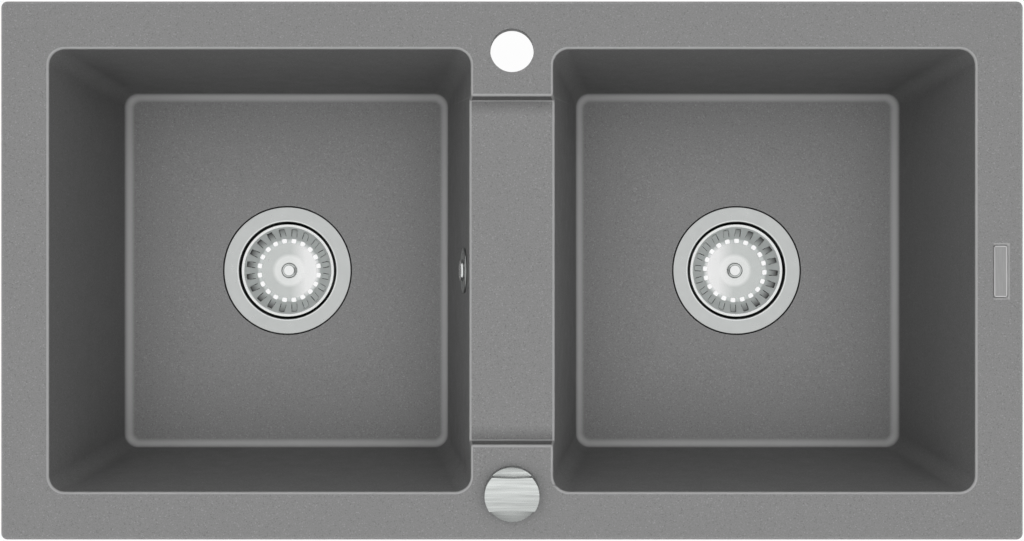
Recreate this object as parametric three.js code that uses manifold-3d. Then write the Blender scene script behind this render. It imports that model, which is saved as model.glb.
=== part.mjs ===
// Double bowl kitchen sink: a moulded composite body with two equal bowls and a lowered bridge, two basket
// wastes, a knob that lifts the left basket through a cable, and an overflow from the left bowl.
// Millimetres, +Z up. X runs along the sink, +Y is the wall side, z = 0 is the worktop under the rim.

import * as THREE from 'three';
import { mergeVertices } from 'three/addons/utils/BufferGeometryUtils.js';
import Module from 'manifold-3d';

// ---------------------------------------------------------------- driving dimensions

const clearance = 0.3; // between pieces that fit in or seat on each other

// Moulded body
const rimThickness = 10;
const rimWidth = 38.4; // from the outer edge to a bowl
const rimCornerRadius = 5;
const rimEdgeRound = 2.6;
const dividerWidth = 65.8;
const bowlLength = 338.7;
const bowlDepth = 355.2;
const bowlCornerRadius = 12.5;
const bowlDrop = 190; // from the rim's top to the waste
const bowlEdgeRound = 2;
const bowlSideTaper = 24.3; // how far a side wall leans in
const bowlEndTaper = 19; // how far a front or back wall leans in
const floorFillet = 8;
const floorFall = 1.5; // from the walls to the waste
const wallThickness = 9;
const floorThickness = 12;
const neckLength = 37.6; // of the deck at the tap hole and the knob, from a bowl's end to the bridge
const bridgeDrop = 11;
const bridgeThickness = 9;
const deckThickness = 17; // at the tap hole and the knob
const deckWidth = 60;
const deckSetback = 14; // from the rim's outer edge
const deckHoleDiameter = 35;
const tapHoleSetback = 39.4;
const knobSetback = 37.2;

// Seal and plate on the rim
const sealSetback = 7;
const sealWidth = 6;
const sealThickness = 2;
const sealCornerRadius = 6;
const plateWidth = 10.4;
const plateLength = 41;
const plateThickness = 1;
const plateRecess = 0.8;
const plateCornerRadius = 1;
const plateSetback = 18.2; // from the rim's outer edge to the plate's middle

// Basket wastes. Heights h are measured from the bowl floor at the waste
const flangeReach = 12; // past the hole in the bowl floor
const steelThickness = 1.2;
const cupGasketThickness = 2;
const cupBore = 87;
const cupDepth = 26;
const cupBottomFillet = 4;
const lipRound = 2.5; // where the flange rolls into the cup
const cupDrainHoles = 6;
const cupDrainHoleDiameter = 15;
const cupDrainSetback = 18.5; // of a drain hole's middle from the cup's wall
const bodyGasketThickness = 2.5;
const bodyFlangeReach = 9; // past the body's side
const bodyFlangeThickness = 4;
const bodyRoom = 1.3; // round the cup
const plasticThickness = 3;
const bodyDepth = 66; // to where the body narrows
const funnelDepth = 17;
const collarHeight = 6; // of the outlet's collar round the body's foot
const collarWall = 2.5;
const outletDiameter = 40;
const outletDepth = 105; // to the outlet's end
const hubDepth = 28; // to the hub's top
const hubHeight = 16;
const hubDiameter = 24;
const ribHeight = 12;
const ribDrop = 2; // from the hub's top
const ribAngles = [30, 135, 240];
const clampScrewDiameter = 12;
const clampHeadDiameter = 20;
const clampHeadThickness = 3;
const clampScrewLength = 20;
const liftPinDiameter = 6;

// Baskets
const basketRoom = 2; // round it in the cup
const basketRimDepth = 2; // under the flange
const basketRimWidth = 2.5;
const basketRimThickness = 2;
const basketSheet = 1;
const basketBand = 11; // the slotted slope, from the rim to the bottom
const basketBottomDepth = 15;
const basketSlots = 20;
const basketSlotWidth = 5.8;
const leftSlotAngle = 9;
const rightSlotAngle = -3.5;
const buttonDiameter = 14;
const buttonHeight = 3.5;
const stemDiameter = 8;
const stopperRoom = 8.5; // round it in the cup
const stopperThickness = 4;
const stopperHubDiameter = 20;

// Pop-up mechanism in the left waste body. Its crank works in a plane turned about the waste's axis
const mechanismAngle = -60;
const crankThickness = 5;
const crankReach = 24; // pivot to lift pin
const crankRise = 24; // pivot to cable
const crankDepth = 57; // pivot, under the bowl floor
const crankNoseRadius = 3;
const crankPivotRadius = 5;
const crankArmWidth = 5;
const pivotPinDiameter = 4;
const cheekThickness = 3;
const cheekWidth = 14;
const cheekHeight = 12;
const cablePortDiameter = 14;
const cablePortLength = 20;
const cableDiameter = 5;
const cableLeadIn = 15; // straight out of a ferrule
const ferruleDiameter = 9;
const ferruleHeadDiameter = 14;
const ferruleHeadLength = 8;
const ferruleInsert = 12;
const ferruleGrip = 5; // how deep the cable sits in a ferrule

// Knob and its housing. Heights are measured from the rim's top
const knobBaseHeight = 9;
const knobHeight = 21;
const gripWidth = 26;
const gripWaist = 0.9; // how far the grip's sides draw in
const bezelWidth = 2.35; // round the housing's flange
const bezelLip = 0.55; // past the knob
const bezelHeight = 3.4;
const bezelSheet = 1.1;
const housingFlangeReach = 2; // past the deck's hole
const housingFlangeThickness = 2;
const housingRoom = 1; // in the deck's hole
const housingDepth = 45;
const housingBearing = 8;
const housingWall = 4;
const spindleDiameter = 6;
const spindleGrip = 9; // how far it reaches into the knob
const drumDiameter = 10.2;
const drumFlangeDiameter = 18;
const drumFlangeThickness = 1.5;
const drumHeight = 8;
const drumDepth = 34; // to the middle of the winding
const washerReach = 4.5; // past the deck's hole
const washerThickness = 1.5;
const nutReach = 3.5; // past the deck's hole
const nutThickness = 8;

// Overflow in the left bowl. Its own axis is square to the leaning wall
const overflowDepth = 47; // under the rim's top
const overflowHoleDiameter = 30;
const rosetteDiameter = 37.7;
const rosetteThickness = 2.5;
const rosetteSlots = 4;
const rosetteSlotWidth = 5;
const domeDiameter = 13.7;
const domeHeight = 3.2;
const overflowScrewDiameter = 5;
const overflowGasketThickness = 2;
const elbowFlangeDiameter = 38;
const elbowFlangeThickness = 3;
const elbowDiameter = 30;
const elbowDepth = 16;
const spigotDiameter = 12;
const spigotLength = 18;
const spigotBore = 9;
const inletDepth = 40; // of the waste body's inlet, under the bowl floor

// Ribbed hose
const hoseCrestDiameter = 20;
const hoseValleyDiameter = 17;
const ribPitch = 6;
const hoseBend = 50;
const hoseSides = 8;
const hoseGap = 4.5; // from the elbow or the waste body to the hose's end
const collarSetback = 2;
const collarThickness = 2.2;
const collarWidth = 9;

// Clips that hold the rim down
const worktopThickness = 38;
const clipSetback = 21; // of the screw from the rim's outer edge
const clipSpread = 205; // of the front and back clips from the middle
const clipBossDiameter = 12;
const clipBossDepth = 14;
const clipScrewDiameter = 5;
const clipScrewLength = 43;
const clipHeadDiameter = 9;
const clipHeadHeight = 4;
const clipWidth = 12;
const clipSheet = 2.5;
const clipOuterReach = 19;
const clipInnerReach = 7;
const clipToothHeight = 8;

// The cable's way between its two ports, chosen by hand
const cableRoute = [
  [-143, -100, -218],
  [-118, -117, -221],
  [-85, -124, -219],
  [-55, -122, -208],
  [-33, -116, -186],
  [-20, -110, -150],
  [-11, -106, -105],
  [-7, -107, -65],
  [-5.5, -118, -38],
];

// ---------------------------------------------------------------- places worked out from them

const sinkLength = 2 * (rimWidth + bowlLength) + dividerWidth;
const sinkDepth = 2 * rimWidth + bowlDepth;
const rimTop = rimThickness;
const bowlCentre = (dividerWidth + bowlLength) / 2;
const floorLevel = rimTop - bowlDrop;
const underside = floorLevel - floorThickness;
const bridgeTop = rimTop - bridgeDrop;
const tapHoleY = sinkDepth / 2 - tapHoleSetback;
const knobY = -(sinkDepth / 2 - knobSetback);
const deckUnderside = rimTop - deckThickness;
const sideLean = Math.atan(bowlSideTaper / (bowlDrop - floorFillet));
const bridgeLength = bowlDepth - 2 * neckLength;
const flangeRecess = steelThickness + cupGasketThickness;
const cupRadius = cupBore / 2;
const wasteHoleDiameter = cupBore + 2 * (steelThickness + clearance);
const flangeDiameter = wasteHoleDiameter + 2 * flangeReach;
const bodyBore = cupBore + 2 * (steelThickness + bodyRoom);
const bodyDiameter = bodyBore + 2 * plasticThickness;
const bodyFlangeDiameter = bodyDiameter + 2 * bodyFlangeReach;
const cupDrainCircle = cupRadius - cupDrainSetback;
const basketDiameter = cupBore - 2 * basketRoom;
const basketBottomDiameter = basketDiameter - 2 * (basketRimWidth + basketBand);
const stopperDiameter = cupBore - 2 * stopperRoom;
const outletRadius = outletDiameter / 2;
const housingDiameter = deckHoleDiameter - 2 * housingRoom;
const housingFlangeDiameter = deckHoleDiameter + 2 * housingFlangeReach;
const bezelDiameter = housingFlangeDiameter + 2 * (clearance + bezelWidth);
const knobDiameter = bezelDiameter - 2 * bezelLip;
const washerDiameter = deckHoleDiameter + 2 * washerReach;
const nutDiameter = deckHoleDiameter + 2 * nutReach;
const plateX = sinkLength / 2 - plateSetback;

// Sides of round pieces: those that show, the waste cups, those under the sink and the small ones
const shownSides = 32;
const cupSides = 24;
const cupTurn = 3.1; // turns the cups' sides, so that no corner lies on the X or Y axis
const hiddenSides = 20;
const smallSides = 10;

// ---------------------------------------------------------------- making solids

const wasm = await Module();
wasm.setup();

// The geometry with its shared corners merged, its flat triangles dropped and its faces turned outwards.
function closed(geometry) {
  const bare = geometry.index ? geometry.toNonIndexed() : geometry.clone();
  bare.deleteAttribute('normal');
  bare.deleteAttribute('uv');
  const merged = mergeVertices(bare, 1e-3);
  const place = merged.attributes.position;
  const corners = [0, 1, 2].map(() => new THREE.Vector3());
  const triangles = [];
  let volume = 0;
  for (let i = 0; i < merged.index.count; i += 3) {
    const ids = [0, 1, 2].map((k) => merged.index.getX(i + k));
    if (new Set(ids).size < 3) continue;
    ids.forEach((id, k) => corners[k].fromBufferAttribute(place, id));
    volume += corners[0].dot(corners[1].clone().cross(corners[2]));
    triangles.push(ids);
  }
  if (volume < 0) triangles.forEach((ids) => ids.reverse());
  merged.setIndex(triangles.flat());
  return merged;
}

function solid(geometry) {
  const skin = closed(geometry);
  return new wasm.Manifold(
    new wasm.Mesh({
      numProp: 3,
      vertProperties: new Float32Array(skin.attributes.position.array),
      triVerts: new Uint32Array(skin.index.array),
    }),
  );
}

function geometryOf(manifold) {
  const mesh = manifold.getMesh();
  const geometry = new THREE.BufferGeometry();
  geometry.setAttribute('position', new THREE.BufferAttribute(mesh.vertProperties, 3));
  geometry.setIndex(new THREE.BufferAttribute(mesh.triVerts, 1));
  return geometry;
}

// The first geometry with the added ones joined to it and the cut ones taken away.
function joined(geometry, { add = [], cut = [] }) {
  let whole = solid(geometry);
  for (const piece of add) whole = whole.add(solid(piece));
  for (const piece of cut) whole = whole.subtract(solid(piece));
  return geometryOf(whole);
}

// A solid of revolution about Z from [radius, height] points. Off the axis the profile closes on itself.
function turned(profile, segments = hiddenSides) {
  const points = profile.map(([radius, height]) => new THREE.Vector2(radius, height));
  if (profile[0][0] > 0) points.push(points[0].clone());
  return closed(new THREE.LatheGeometry(points, segments).rotateX(Math.PI / 2));
}

function ring(innerDiameter, outerDiameter, bottom, top, segments = hiddenSides) {
  const inner = innerDiameter / 2;
  const outer = outerDiameter / 2;
  return turned([[inner, bottom], [outer, bottom], [outer, top], [inner, top]], segments);
}

function rod(diameter, bottom, top, segments = smallSides) {
  const radius = diameter / 2;
  return turned([[0, bottom], [radius, bottom], [radius, top], [0, top]], segments);
}

function block(x0, x1, y0, y1, z0, z1) {
  const box = new THREE.BoxGeometry(x1 - x0, y1 - y0, z1 - z0);
  return box.translate((x0 + x1) / 2, (y0 + y1) / 2, (z0 + z1) / 2);
}

function extruded(shape, depth, curveSegments = 8) {
  return new THREE.ExtrudeGeometry(shape, { depth, bevelEnabled: false, curveSegments });
}

// Points of a rectangle with rounded corners, the same number for every size.
function roundedOutline(length, depth, radius, cornerSteps = 3) {
  const points = [];
  for (let corner = 0; corner < 4; corner += 1) {
    const turn = (corner * Math.PI) / 2;
    const cx = (corner === 0 || corner === 3 ? 1 : -1) * (length / 2 - radius);
    const cy = (corner < 2 ? 1 : -1) * (depth / 2 - radius);
    for (let step = 0; step <= cornerSteps; step += 1) {
      const angle = turn + (step / cornerSteps) * (Math.PI / 2);
      points.push(new THREE.Vector2(cx + radius * Math.cos(angle), cy + radius * Math.sin(angle)));
    }
  }
  return points;
}

// Skin over outlines of equal point counts at rising or falling heights, closed at both ends.
function lofted(sections) {
  const count = sections[0].outline.length;
  const positions = sections.flatMap(({ outline, z }) => outline.flatMap((p) => [p.x, p.y, z]));
  const index = [];
  for (let level = 0; level + 1 < sections.length; level += 1) {
    for (let i = 0; i < count; i += 1) {
      const a = level * count + i;
      const b = level * count + ((i + 1) % count);
      index.push(a, b, b + count, a, b + count, a + count);
    }
  }
  const last = (sections.length - 1) * count;
  for (const [a, b, c] of THREE.ShapeUtils.triangulateShape(sections[0].outline, [])) {
    index.push(a, c, b);
  }
  for (const [a, b, c] of THREE.ShapeUtils.triangulateShape(sections.at(-1).outline, [])) {
    index.push(last + a, last + b, last + c);
  }
  const geometry = new THREE.BufferGeometry();
  geometry.setAttribute('position', new THREE.Float32BufferAttribute(positions, 3));
  return geometry.setIndex(index);
}

// Quarter turn in equal steps, from 0 to a right angle.
function quarter(steps) {
  return Array.from({ length: steps + 1 }, (_, step) => (step / steps) * (Math.PI / 2));
}

function outlineShape(outline, holes = []) {
  const shape = new THREE.Shape(outline);
  shape.holes.push(...holes.map((hole) => new THREE.Path(hole)));
  return shape;
}

function circle(diameter, sides) {
  return Array.from({ length: sides }, (_, side) => {
    const angle = (side / sides) * 2 * Math.PI;
    return new THREE.Vector2(Math.cos(angle), Math.sin(angle)).multiplyScalar(diameter / 2);
  });
}

const alongX = (geometry) => geometry.rotateY(Math.PI / 2);
const alongY = (geometry) => geometry.rotateX(-Math.PI / 2);

// ---------------------------------------------------------------- moulded body

// Outline of a bowl's inner face at a depth under the rim's top, grown outwards.
function bowlOutline(depth, grow) {
  const lean = depth / (bowlDrop - floorFillet);
  const length = bowlLength - 2 * (bowlSideTaper * lean - grow);
  const width = bowlDepth - 2 * (bowlEndTaper * lean - grow);
  return roundedOutline(length, width, Math.max(bowlCornerRadius + grow, 2));
}

function bowlSection(depth, grow) {
  return { outline: bowlOutline(depth, grow), z: rimTop - depth };
}

// What the bowl holds: rounded at the rim, filleted at the floor, falling to a round pad at the waste.
function bowlCavity() {
  const wallFoot = bowlDrop - floorFall - floorFillet;
  const pad = flangeDiameter + 4 * clearance + 2 * floorFillet;
  return lofted([
    { outline: bowlOutline(0, bowlEdgeRound), z: rimTop + 1 },
    ...quarter(2)
      .reverse()
      .map((t) => bowlSection(bowlEdgeRound * (1 - Math.sin(t)), bowlEdgeRound * (1 - Math.cos(t)))),
    ...quarter(3).map((t) =>
      bowlSection(wallFoot + floorFillet * Math.sin(t), -floorFillet * (1 - Math.cos(t))),
    ),
    { outline: roundedOutline(pad, pad, pad / 2 - 1), z: floorLevel },
  ]);
}

// The bowl's outside, from within the rim to the flat underside.
function bowlShell() {
  const fillet = floorFillet + wallThickness;
  const foot = rimTop - underside - fillet;
  return lofted([
    bowlSection(rimThickness / 2, wallThickness),
    ...quarter(2).map((t) =>
      bowlSection(foot + fillet * Math.sin(t), wallThickness - fillet * (1 - Math.cos(t))),
    ),
  ]);
}

function rimSlab() {
  const rimOutline = (inset) =>
    roundedOutline(
      sinkLength - 2 * inset,
      sinkDepth - 2 * inset,
      Math.max(rimCornerRadius - inset, 1),
    );
  return lofted([
    { outline: rimOutline(0), z: 0 },
    ...quarter(2).map((t) => ({
      outline: rimOutline(rimEdgeRound * (1 - Math.cos(t))),
      z: rimTop - rimEdgeRound * (1 - Math.sin(t)),
    })),
  ]);
}

// Room over the lowered bridge, whose long edges are rounded into the bowls.
function bridgeRoom() {
  const roundFoot = bridgeTop - bowlEdgeRound;
  const lean = (rimTop - roundFoot) / (bowlDrop - floorFillet);
  const edge = dividerWidth / 2 + bowlSideTaper * lean;
  const side = edge + rimThickness;
  const shape = new THREE.Shape();
  shape.moveTo(-side, rimTop + 1).lineTo(-side, roundFoot).lineTo(-edge, roundFoot);
  shape.absarc(-edge + bowlEdgeRound, roundFoot, bowlEdgeRound, Math.PI, Math.PI / 2, true);
  shape.absarc(edge - bowlEdgeRound, roundFoot, bowlEdgeRound, Math.PI / 2, 0, true);
  shape.lineTo(side, roundFoot).lineTo(side, rimTop + 1);
  const room = extruded(shape, bridgeLength, 3);
  return room.rotateX(Math.PI / 2).translate(0, bridgeLength / 2, 0);
}

// A flat ring that follows the rim under its edge.
function sealRing(bottom, top, gap) {
  const ringOutline = (inset) =>
    roundedOutline(sinkLength - 2 * inset, sinkDepth - 2 * inset, sealCornerRadius);
  const outer = ringOutline(sealSetback + gap);
  const inner = ringOutline(sealSetback + sealWidth - gap);
  return extruded(outlineShape(outer, [inner]), top - bottom).translate(0, 0, bottom);
}

function plateSlab(grow, bottom, top) {
  const outline = roundedOutline(
    plateWidth + 2 * grow,
    plateLength + 2 * grow,
    plateCornerRadius + grow,
    2,
  );
  return lofted([{ outline, z: bottom }, { outline, z: top }]);
}

// Places of the clips: name, x, y and the way the arm points.
const clipX = sinkLength / 2 - clipSetback;
const clipY = sinkDepth / 2 - clipSetback;
const clipPlaces = [
  ['front_left', -clipSpread, -clipY, -Math.PI / 2],
  ['front_right', clipSpread, -clipY, -Math.PI / 2],
  ['back_left', -clipSpread, clipY, Math.PI / 2],
  ['back_right', clipSpread, clipY, Math.PI / 2],
  ['left', -clipX, 0, Math.PI],
  ['right', clipX, 0, 0],
];
const clipSeat = -(worktopThickness + clipToothHeight); // underside of an arm
const clipHoleEnd = clipSeat + clipScrewLength;

// The overflow's axis: where it meets the left bowl's inner wall, and how far it is turned about Y.
const overflowLean = overflowDepth / (bowlDrop - floorFillet);
const overflowPlace = new THREE.Vector3(
  -(dividerWidth / 2 + bowlSideTaper * overflowLean),
  0,
  rimTop - overflowDepth,
);
const overflowTurn = sideLean - Math.PI / 2;
const wallAlongAxis = wallThickness * Math.cos(sideLean);

function inOverflowFrame(geometry) {
  return geometry.rotateY(overflowTurn).translate(...overflowPlace.toArray());
}

function sinkBody() {
  const webHalf = (dividerWidth - wallThickness) / 2;
  const webHalfLength = bridgeLength / 2 + bridgeThickness;
  const deckEnd = sinkDepth / 2 - deckSetback;
  const inRim = rimThickness / 2;
  const deck = (y0, y1) => block(-deckWidth / 2, deckWidth / 2, y0, y1, deckUnderside, inRim);
  const webBottom = bridgeTop - bridgeThickness;
  const deckHole = (y) =>
    rod(deckHoleDiameter, deckUnderside - 1, rimTop + 1, shownSides).translate(0, y, 0);
  const add = [
    block(-webHalf, webHalf, -webHalfLength, webHalfLength, webBottom, inRim),
    deck(bridgeLength / 2, deckEnd),
    deck(-deckEnd, -bridgeLength / 2),
  ];
  const cut = [
    bridgeRoom(),
    deckHole(tapHoleY),
    deckHole(knobY),
    sealRing(-1, sealThickness, 0),
    plateSlab(clearance, rimTop - plateRecess, rimTop + 1).translate(plateX, 0, 0),
    inOverflowFrame(rod(overflowHoleDiameter, -2 * wallThickness, wallThickness, hiddenSides)),
  ];
  for (const x of [-bowlCentre, bowlCentre]) {
    add.push(bowlShell().translate(x, 0, 0));
    cut.push(
      bowlCavity().translate(x, 0, 0),
      rod(wasteHoleDiameter, underside - 1, floorLevel + 1, shownSides).translate(x, 0, 0),
      rod(
        flangeDiameter + 4 * clearance,
        floorLevel - flangeRecess,
        floorLevel + floorFall,
        shownSides,
      ).translate(x, 0, 0),
    );
  }
  for (const [, x, y] of clipPlaces) {
    add.push(rod(clipBossDiameter, -clipBossDepth, inRim).translate(x, y, 0));
    const bore = clipScrewDiameter + 2 * clearance;
    cut.push(rod(bore, -clipBossDepth - 1, clipHoleEnd).translate(x, y, 0));
  }
  return joined(rimSlab(), { add, cut });
}

function clipScrew() {
  const top = clipSeat - clearance;
  const head = clipHeadDiameter / 2;
  const shank = clipScrewDiameter / 2;
  return turned(
    [
      [0, top - clipHeadHeight],
      [head, top - clipHeadHeight],
      [head, top],
      [shank, top],
      [shank, top + clipScrewLength],
      [0, top + clipScrewLength],
    ],
    smallSides,
  );
}

// Pressed arm: flat under the worktop, with its outer end turned up to bite.
function clipArm() {
  const half = clipWidth / 2;
  const arm = block(-clipInnerReach, clipOuterReach, -half, half, clipSeat, clipSeat + clipSheet);
  const tooth = block(
    clipOuterReach - clipSheet,
    clipOuterReach,
    -half,
    half,
    clipSeat,
    clipSeat + clipToothHeight,
  );
  const hole = rod(clipScrewDiameter + 2 * clearance, clipSeat - 1, clipSeat + clipSheet + 1);
  return joined(arm, { add: [tooth], cut: [hole] });
}

// ---------------------------------------------------------------- basket wastes, about their own axis

const bodyTop = -(floorThickness + bodyGasketThickness);
const hubBore = clampScrewDiameter + 2 * clearance;
const portEnd = bodyDiameter / 2 + cablePortLength;
const cableDepth = crankDepth - crankRise;

function aroundAxis(geometry, degrees) {
  return geometry.rotateZ(THREE.MathUtils.degToRad(degrees));
}

function wasteCup() {
  const bottom = -cupDepth;
  const outer = cupRadius + steelThickness;
  const cup = turned(
    [
      [flangeDiameter / 2, -steelThickness],
      [flangeDiameter / 2, 0],
      [cupRadius + lipRound, 0],
      [cupRadius, -lipRound],
      [cupRadius, bottom + cupBottomFillet],
      [cupRadius - cupBottomFillet, bottom],
      [cupRadius - cupBottomFillet, bottom - steelThickness],
      [outer, bottom + cupBottomFillet],
      [outer, -steelThickness],
    ],
    cupSides,
  );
  return aroundAxis(cup, cupTurn);
}

// Perforated floor welded into the cup's foot, with the clamp screw's hole in its middle.
function cupFloor() {
  const top = -cupDepth;
  const bottom = top - steelThickness;
  const edge = cupRadius - cupBottomFillet;
  const plate = turned(
    [
      [hubBore / 2, bottom],
      [edge, bottom],
      [edge, top],
      [hubBore / 2, top],
    ],
    cupSides,
  );
  const cut = Array.from({ length: cupDrainHoles }, (_, hole) => {
    const drain = rod(cupDrainHoleDiameter, bottom - steelThickness, top + 1);
    return aroundAxis(drain.translate(cupDrainCircle, 0, 0), (hole * 360) / cupDrainHoles);
  });
  return joined(aroundAxis(plate, cupTurn), { cut });
}

function cupGasket() {
  return ring(wasteHoleDiameter + 2, flangeDiameter - 2, -flangeRecess, -steelThickness);
}

function bodyGasket() {
  return ring(bodyBore + 2, bodyFlangeDiameter - 2, bodyTop, -floorThickness);
}

// Plastic body with its flange against the underside and a hub on ribs for the clamp screw.
function plainWasteBody() {
  const outer = bodyDiameter / 2;
  const inner = bodyBore / 2;
  const shell = turned(
    [
      [inner, bodyTop],
      [bodyFlangeDiameter / 2, bodyTop],
      [bodyFlangeDiameter / 2, bodyTop - bodyFlangeThickness],
      [outer, bodyTop - bodyFlangeThickness],
      [outer, -bodyDepth],
      [inner, -bodyDepth],
    ],
  );
  const ribTop = -(hubDepth + ribDrop);
  const ribs = ribAngles.map((angle) => {
    const rib = block(
      (hubBore + hubDiameter) / 4,
      inner + plasticThickness / 2,
      -plasticThickness / 2,
      plasticThickness / 2,
      ribTop - ribHeight,
      ribTop,
    );
    return aroundAxis(rib, angle);
  });
  const hub = ring(hubBore, hubDiameter, -(hubDepth + hubHeight), -hubDepth);
  return joined(hub, { add: [...ribs, shell] });
}

// Funnel and outlet pipe, with a collar that is glued round the body's foot.
function wasteOutlet() {
  const foot = bodyDiameter / 2;
  const inner = bodyBore / 2;
  const bore = outletRadius - plasticThickness;
  const funnelFoot = -(bodyDepth + funnelDepth);
  return turned([
    [inner, -bodyDepth],
    [foot + clearance, -bodyDepth],
    [foot + clearance, collarHeight - bodyDepth],
    [foot + collarWall, collarHeight - bodyDepth],
    [foot + collarWall, -bodyDepth - plasticThickness],
    [outletRadius, funnelFoot - plasticThickness],
    [outletRadius, -outletDepth],
    [bore, -outletDepth],
    [bore, funnelFoot],
  ]);
}

// The left body also takes the overflow's hose and holds the crank that lifts the basket.
function overflowWasteBody() {
  const inner = bodyBore / 2;
  const outer = bodyDiameter / 2;
  const mechanism = (geometry) => aroundAxis(geometry, mechanismAngle);
  const inWall = inner + plasticThickness / 2;
  const inlet = alongX(rod(spigotDiameter, inWall, outer + spigotLength));
  const inletBore = alongX(rod(spigotBore, inner - 2, outer + spigotLength + 1));
  const port = alongX(rod(cablePortDiameter, inWall, portEnd));
  const portBore = alongX(rod(ferruleDiameter + 2 * clearance, inner - 2, portEnd + 1));
  const cheekFace = crankThickness / 2 + clearance;
  const cheeks = [cheekFace, -cheekFace - cheekThickness].map((y) =>
    block(
      crankReach - cheekWidth / 2,
      inWall,
      y,
      y + cheekThickness,
      -crankDepth - cheekHeight / 2,
      -crankDepth + cheekHeight / 2,
    ),
  );
  const pivotHole = alongY(rod(pivotPinDiameter + 2 * clearance, -outer / 2, outer / 2));
  return joined(plainWasteBody(), {
    add: [
      inlet.translate(0, 0, -inletDepth),
      mechanism(port.translate(0, 0, -cableDepth)),
      ...cheeks.map(mechanism),
    ],
    cut: [
      inletBore.translate(0, 0, -inletDepth),
      mechanism(portBore.translate(0, 0, -cableDepth)),
      mechanism(pivotHole.translate(crankReach, 0, -crankDepth)),
    ],
  });
}

// Screw through the cup into the hub; the left one is hollow for the lift pin.
function clampScrew(bore) {
  const seat = -cupDepth;
  const head = clampHeadDiameter / 2;
  const shank = clampScrewDiameter / 2;
  return turned(
    [
      [bore / 2, seat - clampScrewLength],
      [shank, seat - clampScrewLength],
      [shank, seat],
      [head, seat],
      [head, seat + clampHeadThickness],
      [bore / 2, seat + clampHeadThickness],
    ],
  );
}

// ---------------------------------------------------------------- baskets, about the waste's axis

const basketBottom = -basketBottomDepth;
const stemEnd = -cupDepth + clampHeadThickness + 2 * clearance;

function basket(slotAngle) {
  const outer = basketDiameter / 2;
  const inner = outer - basketRimWidth;
  const rim = -basketRimDepth;
  const foot = basketBottomDiameter / 2;
  const stemHole = stemDiameter / 2 + clearance;
  const bowl = turned(
    [
      [stemHole, basketBottom],
      [foot, basketBottom],
      [inner, rim],
      [outer, rim],
      [outer, rim - basketRimThickness],
      [inner + basketSheet, rim - basketRimThickness],
      [foot + basketSheet / 2, basketBottom - basketSheet],
      [stemHole, basketBottom - basketSheet],
    ],
    basketSlots,
  );
  const half = basketSlotWidth / 2;
  const cut = Array.from({ length: basketSlots }, (_, slot) => {
    const gap = block(foot + basketSheet, inner - basketSheet / 2, -half, half, 2 * basketBottom, 0);
    return aroundAxis(gap, slotAngle + (slot * 360) / basketSlots);
  });
  return joined(aroundAxis(bowl, slotAngle + 180 / basketSlots), { cut });
}

// Button riveted through the basket, with the stem that the lift pin pushes.
function basketKnob() {
  const button = buttonDiameter / 2;
  const stem = stemDiameter / 2;
  return turned(
    [
      [0, stemEnd],
      [stem, stemEnd],
      [stem, basketBottom + clearance],
      [button, basketBottom + clearance],
      [button, basketBottom + buttonHeight - 1],
      [button - 2, basketBottom + buttonHeight],
      [0, basketBottom + buttonHeight],
    ],
  );
}

// Rubber stopper under the basket, whose lip closes round the drain holes in the cup.
function basketSeal() {
  const outer = stopperDiameter / 2;
  const lip = outer - 2;
  const hub = stopperHubDiameter / 2;
  const bore = stemDiameter / 2 + clearance;
  const top = basketBottom - basketSheet;
  const disc = -cupDepth + stopperThickness;
  return turned(
    [
      [bore, disc],
      [lip, disc],
      [lip, -cupDepth + clearance],
      [outer, -cupDepth + clearance],
      [outer, disc + stopperThickness / 2],
      [hub, disc + stopperThickness / 2],
      [hub, top],
      [bore, top],
    ],
  );
}

// ---------------------------------------------------------------- pop-up mechanism, in the crank's plane

// Bell crank: its nose lies under the lift pin, and the cable pulls its upper end outwards.
function liftCrank() {
  const half = crankArmWidth / 2;
  const across = (diameter) => alongY(rod(diameter, -crankThickness / 2, crankThickness / 2));
  const arm = (x0, x1, z0, z1) => block(x0, x1, -crankThickness / 2, crankThickness / 2, z0, z1);
  const crank = joined(across(2 * crankPivotRadius), {
    add: [
      across(2 * crankNoseRadius).translate(-crankReach, 0, 0),
      across(2 * crankNoseRadius).translate(0, 0, crankRise),
      arm(-crankReach, 0, -half, half),
      arm(-half, half, 0, crankRise),
    ],
    cut: [across(pivotPinDiameter + 2 * clearance).scale(1, 2, 1)],
  });
  return crank.translate(crankReach, 0, -crankDepth);
}

function rockerPin() {
  const half = crankThickness / 2 + clearance + cheekThickness;
  return alongY(rod(pivotPinDiameter, -half, half)).translate(crankReach, 0, -crankDepth);
}

function liftPin() {
  const bottom = -crankDepth + crankNoseRadius + clearance;
  return rod(liftPinDiameter, bottom, stemEnd - clearance);
}

// Screwed end of the cable's sheath about Z, with its shank below the face that it is screwed against.
function ferrule(insert) {
  const wireBore = 1.2;
  const shank = ferruleDiameter / 2;
  const head = ferruleHeadDiameter / 2;
  const grip = cableDiameter / 2 + clearance;
  const end = clearance + ferruleHeadLength;
  return turned(
    [
      [wireBore, -insert],
      [shank, -insert],
      [shank, clearance],
      [head, clearance],
      [head, end],
      [grip, end],
      [grip, end - ferruleGrip],
      [wireBore, end - ferruleGrip],
    ],
    smallSides,
  );
}

const cableSeat = ferruleHeadLength - ferruleGrip + 2 * clearance; // cable's end from that face

// ---------------------------------------------------------------- knob, about its axis from the rim's top

const knobUnderside = bezelHeight + clearance;
const housingFoot = -housingDepth;
const cablePort = new THREE.Vector3(-drumDiameter / 2, housingDiameter / 2, -drumDepth);

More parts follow.
